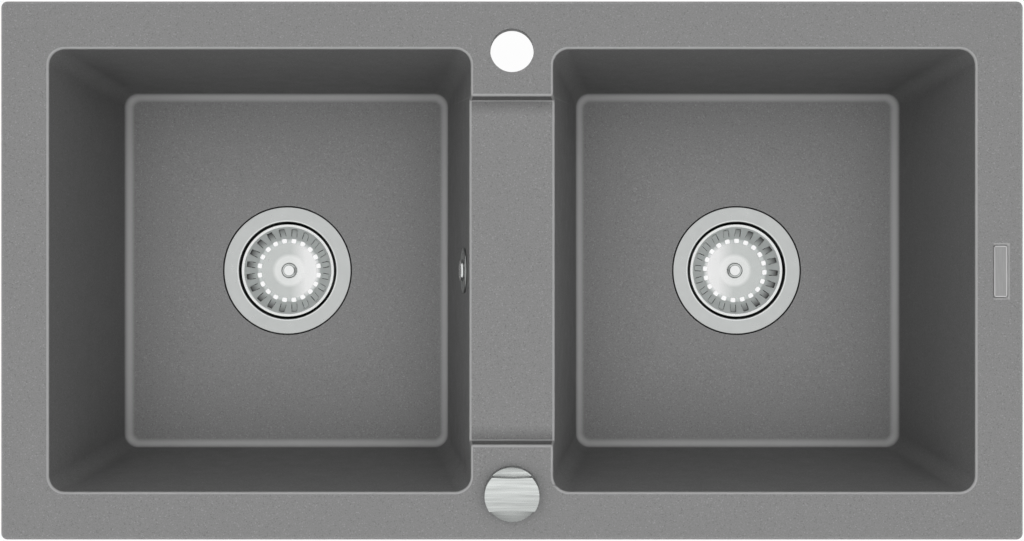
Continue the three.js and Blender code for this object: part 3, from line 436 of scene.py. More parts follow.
bores = [(HOLE_RADIUS, DECK_UNDERSIDE - CUT_PAST, rim_top + CUT_PAST, (0, y)) for y in (TAP_HOLE_Y, KNOB_Y)]
for side in (-1, 1):
    place = (side * BOWL_CENTRE, 0)
    bores.append((WASTE_HOLE_RADIUS, UNDERSIDE - CUT_PAST, FLOOR_LEVEL, place, 96))
    bores.append((FLANGE_RECESS_RADIUS, FLOOR_LEVEL - FLANGE_RECESS, floor_edge, place, 128))
for place in clip_places.values():
    bores.append((CLIP_BORE_RADIUS, -CLIP_BOSS_DEPTH - CUT_PAST, CLIP_BORE_END, place, 24))
holes = [round_piece("hole", *bore) for bore in bores]
plate_x = HALF_LENGTH - PLATE_SETBACK
plate_low = (plate_x - PLATE_HALF[0], PLATE_Y - PLATE_HALF[1], rim_top - PLATE_RECESS)
plate_high = (plate_x + PLATE_HALF[0], PLATE_Y + PLATE_HALF[1], rim_top + CUT_PAST)
holes.append(box_piece("recess", plate_low, plate_high))
overflow_lean = OVERFLOW_DEPTH / TAPER_RUN
overflow_place = Vector((-(DIVIDER / 2 + SIDE_TAPER * overflow_lean), 0, rim_top - OVERFLOW_DEPTH))
overflow_turn = SIDE_LEAN - math.pi / 2
holes.append(rod(OVERFLOW_RADIUS, 4 * WALL, overflow_place, (0, overflow_turn, 0), 48))
cut(body, *holes)

rings = []
for setback, foot, head in (
    (SEAL_SETBACK, -CUT_PAST, SEAL_DEPTH), (SEAL_SETBACK + SEAL_WIDTH, -2 * CUT_PAST, CUT_PAST),
):
    x = HALF_LENGTH - setback
    y = HALF_DEPTH - setback
    rings.append(box_piece("ring", (-x, -y, foot), (x, y, head)))
    bevel(rings[-1], taller(UPRIGHT), SEAL_CORNER, 5)
groove, core = rings
cut(groove, core)
cut(body, groove)


def on_mouth(points):
    """The edges round both bowls' mouths, and the tops of the bridge's two steps."""
    a, b = points
    if max(abs(a.x), abs(b.x)) > HALF_LENGTH - RIM_WIDTH + NEAR:
        return False
    if max(abs(a.y), abs(b.y)) > BOWL_DEPTH / 2 + NEAR:
        return False
    if (a - b).length < NEAR or min(a.z, b.z) < BRIDGE_TOP - BRIDGE_DISH - NEAR:
        return False
    beside = min(abs(a.x), abs(b.x)) > DIVIDER / 2 - 0.001
    step = all(abs(abs(p.y) - BRIDGE_LENGTH / 2) < STEP_DRAFT + NEAR for p in points)
    return beside or (step and all(abs(p.z - rim_top) < NEAR for p in points))


pick(body, "EDGE", lambda points: False)
bpy.ops.mesh.edges_select_sharp(sharpness=math.radians(SHARP_ANGLE))
done()
corners = body.data.vertices
for edge in body.data.edges:
    edge.select = edge.select and on_mouth([corners[i].co for i in edge.vertices])
for vertex in corners:
    vertex.select = False
bpy.ops.object.mode_set(mode="EDIT")
bpy.ops.mesh.bevel(offset=BOWL_EDGE, segments=4, affect="EDGES", clamp_overlap=False)
done()


def interior(mesh):
    """The vertices inside a strip of selected faces, none of which is a whole panel."""
    total = [0] * len(mesh.vertices)
    chosen = [0] * len(mesh.vertices)
    for face in mesh.polygons:
        for i in face.vertices:
            total[i] += 1
            chosen[i] += face.select and face.area < STRIP_AREA
    return [i for i, count in enumerate(total) if count and chosen[i] == count]


def arc_light(height, radius):
    """How strong a rounding's painted highlight is: nothing at its two ends, most in its steeper half."""
    share = min(max(height / radius, 0.0), 1.0)
    return math.sin(math.pi * share**0.6)


# Painted highlights: pale stone is painted along the bowls' mouths, the rim's outer edge, the floor fillets
# and the foot of the bridge's steps, where rounded edges catch light.
painted_highlights = {i: MOUTH_HIGHLIGHT for i in interior(body.data)}
# Painted shade: the walls are painted darker towards the floor, the floor a little darker and most at its
# edge, the bridge's steps and the bridge beside them darker, and the flange recess's bottom nearly black.
shaded = {}
for vertex in body.data.vertices:
    x, y, z = abs(vertex.co.x), abs(vertex.co.y), vertex.co.z
    outside = x > HALF_LENGTH - RIM_ROUND or y > HALF_DEPTH - RIM_ROUND
    if outside and z > rim_top - RIM_ROUND:
        painted_highlights[vertex.index] = OUTER_HIGHLIGHT * arc_light(rim_top - z, RIM_ROUND)
    lean = (rim_top - z) / TAPER_RUN
    half_x = BOWL_LENGTH / 2 - SIDE_TAPER * lean + BOWL_EDGE / 2
    half_y = BOWL_DEPTH / 2 - END_TAPER * lean + BOWL_EDGE / 2
    if abs(x - BOWL_CENTRE) < half_x and y < half_y and z < rim_top - BOWL_EDGE:
        depth = (rim_top - z) / (rim_top - floor_edge)
        shaded[vertex.index] = depth / 2 if z > floor_edge + NEAR else FLOOR_EDGE_SHADE
        if floor_edge + NEAR < z < floor_edge + FLOOR_FILLET:
            painted_highlights[vertex.index] = FILLET_HIGHLIGHT * arc_light(z - floor_edge, FLOOR_FILLET)
        if z < floor_edge - FLOOR_FALL / 2:
            shaded[vertex.index] = FLOOR_SHADE
        if z < FLOOR_LEVEL - FLANGE_RECESS / 2:
            shaded[vertex.index] = float(z > FLOOR_LEVEL - FLANGE_RECESS - NEAR)
    from_step = BRIDGE_LENGTH / 2 - y
    on_step = BOWL_EDGE / 8 < from_step < STEP_DRAFT + STEP_FOOT * 1.2
    if x < DIVIDER / 2 + BOWL_EDGE and on_step and BRIDGE_TOP - NEAR < z < rim_top - BOWL_EDGE * 0.9:
        above = z - BRIDGE_TOP
        shaded[vertex.index] = STEP_SHADE if above > STEP_FOOT * 0.9 else BRIDGE_SHADE
        if NEAR * 2 < above < STEP_FOOT * 0.9:
            painted_highlights[vertex.index] = STEP_HIGHLIGHT
for name, values in (("rub", painted_highlights), ("depth", shaded)):
    attribute = body.data.attributes.new(name, "FLOAT", "POINT")
    for i, value in values.items():
        attribute.data[i].value = value


def fit(piece, material, slot, *stands_for, body="sink", smooth_to=SHARP_ANGLE):
    """Shades a piece, gives it its material and its body, and hides the CAD nodes it stands for. The slot
    argument is not used.
    """
    choose(piece)
    bpy.ops.object.shade_smooth_by_angle(angle=math.radians(smooth_to))
    modify(piece, "WEIGHTED_NORMAL", keep_sharp=True, weight=100)
    piece.data.materials.clear()
    piece.data.materials.append(material)
    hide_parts(*stands_for)
    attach(piece, body)


def shader_group(name, inputs, outputs):
    """A new node group with plain number sockets, and its first and last node."""
    group = bpy.data.node_groups.new(name, "ShaderNodeTree")
    for socket in inputs:
        group.interface.new_socket(name=socket, in_out="INPUT", socket_type="NodeSocketFloat")
    for socket in outputs:
        group.interface.new_socket(name=socket, in_out="OUTPUT", socket_type="NodeSocketFloat")
    return group, group.nodes.new("NodeGroupInput"), group.nodes.new("NodeGroupOutput")


def effect(tree, group, **values):
    """Places a node group in a material with its own values."""
    node = tree.nodes.new("ShaderNodeGroup")
    node.node_tree = group
    for name, value in values.items():
        node.inputs[name].default_value = value
    return node


def pattern(tree, kind, scale, stretch=None, **values):
    """A texture node on the piece's own coordinates. The scale is a number or a node's output."""
    place = tree.nodes.new("ShaderNodeTexCoord").outputs["Object"]
    if stretch:
        mapping = tree.nodes.new("ShaderNodeMapping")
        mapping.inputs["Scale"].default_value = stretch
        tree.links.new(place, mapping.inputs["Vector"])
        place = mapping.outputs["Vector"]
    node = tree.nodes.new(kind)
    tree.links.new(place, node.inputs["Vector"])
    if isinstance(scale, (int, float)):
        node.inputs["Scale"].default_value = scale
    else:
        tree.links.new(scale, node.inputs["Scale"])
    for name, value in values.items():
        node.inputs[name].default_value = value
    return node


def stored(tree, name):
    """A number that is stored on the mesh."""
    node = tree.nodes.new("ShaderNodeAttribute")
    node.attribute_name = name
    return node.outputs["Fac"]


def levels(tree, source, *stops):
    """A colour ramp through (position, grey or colour) stops."""
    node = tree.nodes.new("ShaderNodeValToRGB")
    while len(node.color_ramp.elements) < len(stops):
        node.color_ramp.elements.new(0.5)
    for element, (position, colour) in zip(node.color_ramp.elements, stops):
        element.position = position
        shades = [colour] * 3 if isinstance(colour, (int, float)) else list(colour)
        element.color = (*shades, 1)
    tree.links.new(source, node.inputs["Fac"])
    return node.outputs["Color"]


def blended(tree, factor, first, second, mode="MIX"):
    """A mix of two colours, each a node's output, a grey or a colour."""
    node = tree.nodes.new("ShaderNodeMix")
    node.data_type = "RGBA"
    node.blend_type = mode
    inputs = (node.inputs[0], node.inputs[6], node.inputs[7])
    for socket, value in zip(inputs, (factor, first, second)):
        if isinstance(value, bpy.types.NodeSocket):
            tree.links.new(value, socket)
        elif socket == node.inputs[0]:
            socket.default_value = value
        else:
            shades = [value] * 3 if isinstance(value, float) else value
            socket.default_value = (*shades, 1)
    return node.outputs[2]


def times(tree, first, second):
    """One colour multiplied by another."""
    return blended(tree, 1.0, first, second, "MULTIPLY")


def raised(tree, height, strength, distance):
    """A bump node."""
    node = tree.nodes.new("ShaderNodeBump")
    node.inputs["Strength"].default_value = strength
    node.inputs["Distance"].default_value = distance
    tree.links.new(height, node.inputs["Height"])
    return node.outputs["Normal"]


def principled(name, **values):
    """A material with one principled shader, whose plain values stand on its own sockets."""
    material, tree, output = new_material(name)
    shader = tree.nodes.new("ShaderNodeBsdfPrincipled")
    for socket, value in values.items():
        shader.inputs[socket.replace("_", " ")].default_value = value
    tree.links.new(shader.outputs["BSDF"], output.inputs["Surface"])
    return material, tree, shader.inputs


grain, start, end = shader_group("stone_grain", ["Scale", "Flecks"], ["Shade", "Height"])
cells = pattern(grain, "ShaderNodeTexVoronoi", start.outputs["Scale"])
chance = grain.nodes.new("ShaderNodeSeparateColor")
grain.links.new(cells.outputs["Color"], chance.inputs["Color"])
round_cell = levels(grain, cells.outputs["Distance"], (0.0, 1.0), (0.45, 0.6), (0.6, 0.0))
pale = levels(grain, chance.outputs["Red"], (0.0, 0.0), (0.86, 0.0), (0.94, 1.0))
dark = levels(grain, chance.outputs["Green"], (0.0, 0.0), (0.84, 0.0), (0.93, 1.0))
specks = calculate(grain, "MULTIPLY", calculate(grain, "SUBTRACT", pale, dark), round_cell)
sand = pattern(grain, "ShaderNodeTexNoise", start.outputs["Scale"], Detail=4.0, Roughness=0.7)
flecks = calculate(grain, "MULTIPLY", specks, start.outputs["Flecks"])
grain.links.new(calculate(grain, "ADD", sand.outputs["Fac"], flecks), end.inputs["Shade"])
grain.links.new(sand.outputs["Fac"], end.inputs["Height"])

smudges, start, end = shader_group("smudges", ["Scale", "Amount", "Level"], ["Value"])
cloud = pattern(smudges, "ShaderNodeTexNoise", start.outputs["Scale"], Detail=5.0, Roughness=0.6)
centred = calculate(smudges, "SUBTRACT", cloud.outputs["Fac"], 0.5)
spread = calculate(smudges, "MULTIPLY", centred, start.outputs["Amount"])
smudges.links.new(calculate(smudges, "ADD", spread, start.outputs["Level"]), end.inputs["Value"])


def smudged(tree, scale, amount, level):
    """A level with soft clouds in it."""
    return effect(tree, smudges, Scale=scale, Amount=amount, Level=level).outputs["Value"]


granite, tree, sockets = principled("granite_composite", IOR=1.5, Specular_IOR_Level=0.15)
stone = effect(tree, grain, Scale=STONE_GRAIN, Flecks=0.35)
shades = ((0.2, STONE_DARK), (0.5, STONE_MIDDLE), (0.85, STONE_PALE))
ground = levels(tree, stone.outputs["Shade"], *shades)
clouded = times(tree, ground, levels(tree, smudged(tree, 14.0, 0.12, 0.5), (0.0, 0.8), (1.0, 1.2)))
# Painted shade from the depth mark darkens the stone down the walls, on the floor, by the steps and in the
# recess; the painted highlight mark pales the rounded edges.
depths = ((0.0, 1.0), (0.25, WALL_MIDDLE), (0.5, WALL_FOOT), (1.0, CREVICE))
depth_shaded_stone = times(tree, clouded, levels(tree, stored(tree, "depth"), *depths))
tree.links.new(blended(tree, stored(tree, "rub"), depth_shaded_stone, STONE_HIGHLIGHT), sockets["Base Color"])
tree.links.new(smudged(tree, 60.0, 0.25, 0.5), sockets["Roughness"])
tree.links.new(raised(tree, stone.outputs["Height"], 0.35, 0.00025), sockets["Normal"])
fit(body, granite, "granite", "sink_body")

# --- Rim seal and plate ---------------------------------------------------------------------
# A strip of black foam in the groove under the rim seals it on the worktop. A small blank plate
# of satin alloy with a raised frame is glued into its recess on the right rim.

PLATE_SIZE = (0.0104, 0.041)
PLATE_TOP = 0.0002
PLATE_CORNER = 0.001
PLATE_FRAME = 0.0008
PLATE_SINK = 0.00025
PLATE_FIELD = 0.34
PLATE_EDGE_HIGHLIGHT = 0.62


def mark(obj, name, rule):
    """Stores a number at every point of the piece, worked out from the point's place."""
    attribute = obj.data.attributes.new(name, "FLOAT", "POINT")
    for i, vertex in enumerate(obj.data.vertices):
        attribute.data[i].value = rule(vertex.co)


def dress(material, *names):
    """Gives CAD nodes whose shape is right a finished material."""
    for name in names:
        for slot in nodes[name].material_slots:
            slot.material = material


def cloudy_finish(name, dark, pale, roughness, scale, bump, **values):
    """A moulded, cast or sawn surface: cloudy colour, uneven gloss and a fine skin."""
    material, tree, sockets = principled(name, **values)
    tree.links.new(blended(tree, smudged(tree, 45.0, 1.6, 0.5), dark, pale), sockets["Base Color"])
    tree.links.new(smudged(tree, 120.0, 0.35, roughness), sockets["Roughness"])
    skin = effect(tree, grain, Scale=scale, Flecks=0.0)
    tree.links.new(raised(tree, skin.outputs["Height"], 0.4, bump), sockets["Normal"])
    return material


foam = cloudy_finish("black_foam", 0.018, 0.032, 0.85, 2600.0, 0.0004)
rubber = cloudy_finish("black_rubber", 0.014, 0.026, 0.6, 1500.0, 0.0001)
dress(foam, "rim_seal")

plate = box_piece(
    "blank_plate",
    (plate_x - PLATE_SIZE[0] / 2, PLATE_Y - PLATE_SIZE[1] / 2, rim_top - PLATE_RECESS),
    (plate_x + PLATE_SIZE[0] / 2, PLATE_Y + PLATE_SIZE[1] / 2, rim_top + PLATE_TOP),
)
bevel(plate, taller(PLATE_TOP), PLATE_CORNER, 5)
pick(plate, "FACE", at_height(rim_top + PLATE_TOP))
bpy.ops.mesh.inset(thickness=PLATE_FRAME, depth=0)
bpy.ops.mesh.inset(thickness=PLATE_SINK, depth=-PLATE_SINK)
done()


def frame_light(co):
    """The frame's right and front sides catch more light than the other two."""
    if co.z < rim_top + PLATE_TOP - NEAR:
        return 0.0
    right = co.x > plate_x + PLATE_SIZE[0] / 2 - PLATE_CORNER * 2
    front = co.y < PLATE_Y - PLATE_SIZE[1] / 2 + PLATE_CORNER * 2
    return 1.0 if right or front else 0.7


# Painted highlight: the frame's top is painted pale, most on its right and front sides.
mark(plate, "rub", frame_light)
alloy, tree, sockets = principled("satin_alloy", Metallic=1.0)
streaks = pattern(tree, "ShaderNodeTexNoise", 2500.0, stretch=(1.0, 0.02, 1.0), Detail=3.0)
field = levels(tree, streaks.outputs["Fac"], (0.3, PLATE_FIELD * 0.9), (0.7, PLATE_FIELD * 1.1))
tree.links.new(blended(tree, stored(tree, "rub"), field, PLATE_EDGE_HIGHLIGHT), sockets["Base Color"])
tree.links.new(smudged(tree, 300.0, 0.3, 0.38), sockets["Roughness"])
tree.links.new(raised(tree, streaks.outputs["Fac"], 0.25, 0.00005), sockets["Normal"])
fit(plate, alloy, "plate", "badge_plate")

# --- Waste cups -----------------------------------------------------------------------------
# Each waste's cup is pressed from stainless sheet: a flat satin flange in the bowl floor's recess,
# a rolled lip, a straight wall and a perforated floor. A rubber ring seals it from below.

FLANGE_RADIUS = 0.057
CUP_SHEET = 0.0012
CUP_BORE = 0.0435
CUP_LIP = 0.0013
FLANGE_EDGE = 0.0005
CUP_DEPTH = 0.026
CUP_FOOT = 0.004
DRAINS = 6
DRAIN_CIRCLE = 0.025
DRAIN_RADIUS = 0.0075
SCREW_HOLE = 0.0063
FLANGE_TINT = (0.54, 0.555, 0.548)
LIP_HIGHLIGHT = (0.8, 0.82, 0.81)
CUP_WALL_SHADE = (0.07, 0.075, 0.073)
waste_places = {
    "left": (-BOWL_CENTRE, 0, FLOOR_LEVEL),
    "right": (BOWL_CENTRE, 0, FLOOR_LEVEL),
}


def arc(centre, radius, start, end, steps=6):
    """Points of a profile along an arc, from one angle in degrees to another."""
    turns = [math.radians(start + (end - start) * i / steps) for i in range(steps + 1)]
    return [(centre[0] + radius * math.cos(t), centre[1] + radius * math.sin(t)) for t in turns]


def weld():
    """Merges the points that meet, turns all faces outwards and leaves edit mode."""
    bpy.ops.mesh.select_all(action="SELECT")
    bpy.ops.mesh.remove_doubles(threshold=NEAR / 10)
    bpy.ops.mesh.normals_make_consistent(inside=False)
    done()


def spun(name, profile, place=(0, 0, 0), steps=96):
    """Spins a profile of (radius, height) points round an upright axis. A ring's profile is closed."""
    bpy.ops.object.select_all(action="DESELECT")
    bpy.ops.mesh.primitive_plane_add(size=0.01, location=place)
    piece = set_place(bpy.context.object)
    piece.name = name
    if profile[0][0] > 0:
        profile = [*profile, profile[0]]
    bpy.ops.object.mode_set(mode="EDIT")
    bpy.ops.mesh.select_mode(type="VERT")
    bpy.ops.mesh.select_all(action="SELECT")
    bpy.ops.mesh.merge(type="CENTER")
    bpy.ops.transform.translate(value=(profile[0][0], 0, profile[0][1]))
    for (r0, z0), (r1, z1) in zip(profile, profile[1:]):
        step = (r1 - r0, 0, z1 - z0)
        bpy.ops.mesh.extrude_vertices_move(TRANSFORM_OT_translate={"value": step})
    bpy.ops.mesh.select_all(action="SELECT")
    bpy.ops.mesh.spin(steps=steps, angle=2 * math.pi, center=place, axis=(0, 0, 1))
    weld()
    return piece


def soften(obj, width, segments=2):
    """Rounds every sharp edge a little."""
    modify(obj, "BEVEL", width=width, segments=segments, angle_limit=math.radians(35))


def turned_about(obj, place, degrees):
    """Turns a piece about the upright axis through a place."""
    turn = Euler((0, 0, math.radians(degrees)))
    axis = Vector((place[0], place[1], 0))
    turned = axis.copy()
    turned.rotate(turn)
    return moved(obj, turn, axis - turned)


def mark_radius(obj, place, full):
    """Stores how far each point is from the axis, as a share of the full radius."""
    mark(obj, "radius", lambda co: math.hypot(co.x - place[0], co.y - place[1]) / full)


turning, start, end = shader_group("turned_marks", ["Rings", "Contrast"], ["Shade", "Height"])
marks = turning.nodes.new("ShaderNodeTexNoise")
marks.noise_dimensions = "1D"
marks.inputs["Detail"].default_value = 5.0
marks.inputs["Roughness"].default_value = 0.7
along = calculate(turning, "MULTIPLY", stored(turning, "radius"), start.outputs["Rings"])
turning.links.new(along, marks.inputs["W"])
ring_shade = calculate(turning, "SUBTRACT", marks.outputs["Fac"], 0.5)
ring_shade = calculate(turning, "MULTIPLY", ring_shade, start.outputs["Contrast"])
turning.links.new(calculate(turning, "ADD", ring_shade, 1.0), end.inputs["Shade"])
turning.links.new(marks.outputs["Fac"], end.inputs["Height"])


def turned_steel(name, stops, roughness, rings, contrast, bump=0.00004):
    """Stainless steel with fine turning marks. The stops give its tint along the radius."""
    material, tree, sockets = principled(name, Metallic=1.0)
    tint = levels(tree, stored(tree, "radius"), *stops)
    lathe = effect(tree, turning, Rings=rings, Contrast=contrast)
    shaded_tint = times(tree, tint, lathe.outputs["Shade"])
    tinted = times(tree, shaded_tint, smudged(tree, 55.0, 0.14, 1.0))
    tree.links.new(tinted, sockets["Base Color"])
    tree.links.new(smudged(tree, 150.0, 0.2, roughness), sockets["Roughness"])
    tree.links.new(raised(tree, lathe.outputs["Height"], 0.2, bump), sockets["Normal"])
    return material


foot_centre = (CUP_BORE - CUP_FOOT, CUP_FOOT - CUP_DEPTH)
cup_profile = [
    (CUP_BORE + CUP_SHEET, -CUP_SHEET), (FLANGE_RADIUS - 0.0003, -CUP_SHEET),
    *arc((FLANGE_RADIUS - FLANGE_EDGE, -FLANGE_EDGE), FLANGE_EDGE, -40, 90, 4),
    *arc((CUP_BORE + CUP_LIP, -CUP_LIP), CUP_LIP, 90, 180, 7),
    *arc(foot_centre, CUP_FOOT, 0, -90, 6), (SCREW_HOLE, -CUP_DEPTH),
    (SCREW_HOLE, -CUP_DEPTH - CUP_SHEET), *arc(foot_centre, CUP_FOOT + CUP_SHEET, -90, 0, 6),
]
lip_at = (CUP_BORE + CUP_LIP) / FLANGE_RADIUS
# Painted shade and highlight: the cup's wall below the lip is painted near black, and the rolled lip is
# painted pale.
satin_steel = turned_steel(
    "satin_steel",
    (
        (0.0, FLANGE_TINT), (0.70, FLANGE_TINT), (0.74, CUP_WALL_SHADE),
        (CUP_BORE / FLANGE_RADIUS + 0.003, CUP_WALL_SHADE),
        (CUP_BORE / FLANGE_RADIUS + 0.009, LIP_HIGHLIGHT), (lip_at, LIP_HIGHLIGHT),
        (lip_at + 0.012, FLANGE_TINT), (1.0, FLANGE_TINT),
    ),
    roughness=0.3,
    rings=160.0,
    contrast=0.12,
)
for side, place in waste_places.items():
    cup = spun(side + "_cup", cup_profile, place)
    for hole in range(DRAINS):
        turn = math.radians(360 / DRAINS * hole)
        x = place[0] + DRAIN_CIRCLE * math.cos(turn)
        y = DRAIN_CIRCLE * math.sin(turn)
        top = FLOOR_LEVEL - CUP_DEPTH + 0.002
        drain = round_piece("drain", DRAIN_RADIUS, top - 0.006, top, (x, y), 32)
        cut(cup, drain)
    mark_radius(cup, place, FLANGE_RADIUS)
    fit(cup, satin_steel, "flange_steel", side + "_waste_cup", side + "_cup_floor")
    dress(rubber, side + "_cup_gasket", side + "_body_gasket", side + "_basket_seal")

# --- Waste bodies ---------------------------------------------------------------------------
# Under each bowl a black polypropylene body is pulled up against the floor. It has a hub on three
# ribs for the clamp screw. A funnel with a threaded pipe is glued on. The left body also takes
# the overflow's hose, and holds the lift's crank and the screwed end of its cable.

BODY_TOP = -0.0145
BODY_FLANGE = 0.058
BODY_FLANGE_SHEET = 0.004
BODY_OUTER = 0.049
BODY_INNER = 0.046
BODY_DEPTH = 0.066
BODY_WALL = 0.003
HUB_RADIUS = 0.012
HUB_TOP = -0.028
HUB_FOOT = -0.044
SPOKE_TOP = -0.030
SPOKE_FOOT = -0.042
SPOKE_ANGLES = (30, 135, 240)
GUSSETS = 12
GUSSET_DROP = 0.010
GUSSET_HALF = 0.001
GUSSET_FOOT = 0.0015
GUSSET_START = 15
COLLAR_OUTER = 0.0515
COLLAR_TOP = 0.006
COLLAR_GAP = 0.0003
PIPE_RADIUS = 0.020
PIPE_BORE = 0.017
PIPE_END = -0.105
FUNNEL_FOOT = -0.083
THREAD_PITCH = 0.0025
THREAD_DEPTH = 0.0009
PIPE_THREAD = (-0.0895, -0.1045)
LIFT_ANGLE = -60
INLET_DEPTH = 0.040
INLET_RADIUS = 0.006
INLET_BORE = 0.0045
INLET_END = 0.067
INLET_BARBS = (0.056, 0.060, 0.064)
PORT_DEPTH = 0.033
PORT_RADIUS = 0.007
PORT_BORE = 0.0048
PORT_END = 0.069
CHEEK_REACH = 0.017
CHEEK_GAP = 0.0028
CHEEK_SHEET = 0.003
CRANK_REACH = 0.024
CRANK_DEPTH = 0.057
CHEEK_HALF = 0.006
CHEEK_CORNER = 0.004
PIN_HOLE = 0.0023


def ray_box(name, place, reach, across, heights):
    """A box out from a waste's axis: its extent outwards, across, and in height from the floor."""
    low, high = zip(reach, across, heights)
    low = [a + b for a, b in zip(place, low)]
    return box_piece(name, low, [a + b for a, b in zip(place, high)])


def threaded(radius, top, bottom, pitch, depth):
    """Points down the outside of a thread, as rings between two heights."""
    points = []
    z = top
    while z - pitch >= bottom:
        points += [
            (radius - depth, z), (radius - depth, z - 0.25 * pitch), (radius, z - 0.5 * pitch),
            (radius, z - 0.75 * pitch),
        ]
        z -= pitch
    return [*points, (radius - depth, z)]


def level_tube(name, outer, bore, low, high, place, depth, degrees, ridges=()):
    """A level tube that points away from a waste's axis, and the rod that bores it out."""
    pieces = []
    for radius, near, far in ((outer, low, high), (bore, low - 0.002, high + 0.001)):
        profile = [(0, near), (radius, near), (radius, far), (0, far)]
        if radius == outer:
            for z in reversed(ridges):
                profile[2:2] = [(outer, z), (outer + 0.0002, z), (outer, z + 0.002)]
        tube = moved(spun(name, profile, steps=40), (0, math.pi / 2, 0))
        axis = (place[0], place[1], place[2] - depth)
        pieces.append(moved(tube, (0, 0, math.radians(degrees)), axis))
    return pieces


def cheek_corner(points):
    """The edges across a cheek's free end."""
    a, b = points
    return abs(a.y - b.y) > NEAR and a.x < CHEEK_REACH - BOWL_CENTRE + NEAR


black_plastic = cloudy_finish("black_polypropylene", 0.022, 0.038, 0.42, 900.0, 0.00008, IOR=1.49)
mid_wall = BODY_INNER + BODY_WALL / 2
for side, place in waste_places.items():
    waste = spun(
        side + "_body",
        [
            (BODY_INNER, BODY_TOP), (BODY_FLANGE, BODY_TOP),
            (BODY_FLANGE, BODY_TOP - BODY_FLANGE_SHEET), (BODY_OUTER, BODY_TOP - BODY_FLANGE_SHEET),
            (BODY_OUTER, -BODY_DEPTH), (BODY_INNER, -BODY_DEPTH),
        ],
        place,
    )
    hub = spun(
        "hub",
        [(SCREW_HOLE, HUB_TOP), (HUB_RADIUS, HUB_TOP), (HUB_RADIUS, HUB_FOOT), (SCREW_HOLE, HUB_FOOT)],
        place, 48,
    )
    for angle in SPOKE_ANGLES:
        reach = (HUB_RADIUS - BODY_WALL, mid_wall)
        across = (-BODY_WALL / 2, BODY_WALL / 2)
        spoke = ray_box("spoke", place, reach, across, (SPOKE_FOOT, SPOKE_TOP))
        join(hub, turned_about(spoke, place, angle))
    join(waste, hub)
    under_flange = FLOOR_LEVEL + BODY_TOP - BODY_FLANGE_SHEET
    for i in range(GUSSETS):
        low = (place[0] + BODY_OUTER - 0.001, -GUSSET_HALF, under_flange - GUSSET_DROP)
        high = (place[0] + BODY_FLANGE - 0.001, GUSSET_HALF, under_flange + 0.001)
        gusset = box_piece("gusset", low, high)
        pick(gusset, "VERT", lambda points: points[0].z < under_flange and points[0].x > low[0] + 0.001)
        bpy.ops.transform.translate(value=(low[0] + GUSSET_FOOT - high[0], 0, 0))
        done()
        join(waste, turned_about(gusset, place, GUSSET_START + 360 / GUSSETS * i))
    if side == "left":
        inlet, inlet_bore = level_tube(
            "inlet", INLET_RADIUS, INLET_BORE, mid_wall, INLET_END, place, INLET_DEPTH, 0, INLET_BARBS
        )
        port, port_bore = level_tube(
            "port", PORT_RADIUS, PORT_BORE, mid_wall, PORT_END, place, PORT_DEPTH, LIFT_ANGLE
        )
        join(waste, inlet, port)
        cut(waste, inlet_bore, port_bore)
        for near in (CHEEK_GAP, -CHEEK_GAP - CHEEK_SHEET):
            reach = (CHEEK_REACH, BODY_INNER + 0.001)
            heights = (-CRANK_DEPTH - CHEEK_HALF, -CRANK_DEPTH + CHEEK_HALF)
            cheek = ray_box("cheek", place, reach, (near, near + CHEEK_SHEET), heights)
            bevel(cheek, cheek_corner, CHEEK_CORNER, 5)
            pivot = (place[0] + CRANK_REACH, 0, FLOOR_LEVEL - CRANK_DEPTH)
            pin_hole = rod(PIN_HOLE, 0.03, pivot, (math.pi / 2, 0, 0), 24)
            cut(cheek, pin_hole)
            join(waste, turned_about(cheek, place, LIFT_ANGLE))
    soften(waste, 0.0004)
    fit(waste, black_plastic, "waste_plastic", side + "_waste_body")

    outlet = spun(
        side + "_outlet",
        [
            (BODY_INNER, -BODY_DEPTH), (BODY_OUTER + COLLAR_GAP, -BODY_DEPTH),
            (BODY_OUTER + COLLAR_GAP, COLLAR_TOP - BODY_DEPTH), (COLLAR_OUTER, COLLAR_TOP - BODY_DEPTH),
            (COLLAR_OUTER, -BODY_DEPTH - BODY_WALL), (PIPE_RADIUS + 0.002, FUNNEL_FOOT - BODY_WALL),
            (PIPE_RADIUS, FUNNEL_FOOT - BODY_WALL - 0.002),
            *threaded(PIPE_RADIUS, *PIPE_THREAD, THREAD_PITCH, THREAD_DEPTH),
            (PIPE_RADIUS - THREAD_DEPTH, PIPE_END), (PIPE_BORE, PIPE_END), (PIPE_BORE, FUNNEL_FOOT),
        ],
        place,
    )
    soften(outlet, 0.0003)
    fit(outlet, black_plastic, "waste_plastic", side + "_waste_outlet")

# --- Clamp screws ---------------------------------------------------------------------------
# A stainless screw through each cup's floor pulls the body up against the bowl. It has a low
# domed head with a slot for a coin. The left one is bored through for the lift's pin.

SCREW_HEAD = 0.010
SCREW_HEAD_HEIGHT = 0.003
SCREW_RADIUS = 0.006
SCREW_LENGTH = 0.020
SCREW_THREAD = (0.0015, 0.0007)
PIN_BORE = 0.0033
COIN_SLOT = 0.0011
COIN_SLOT_DEPTH = 0.0012

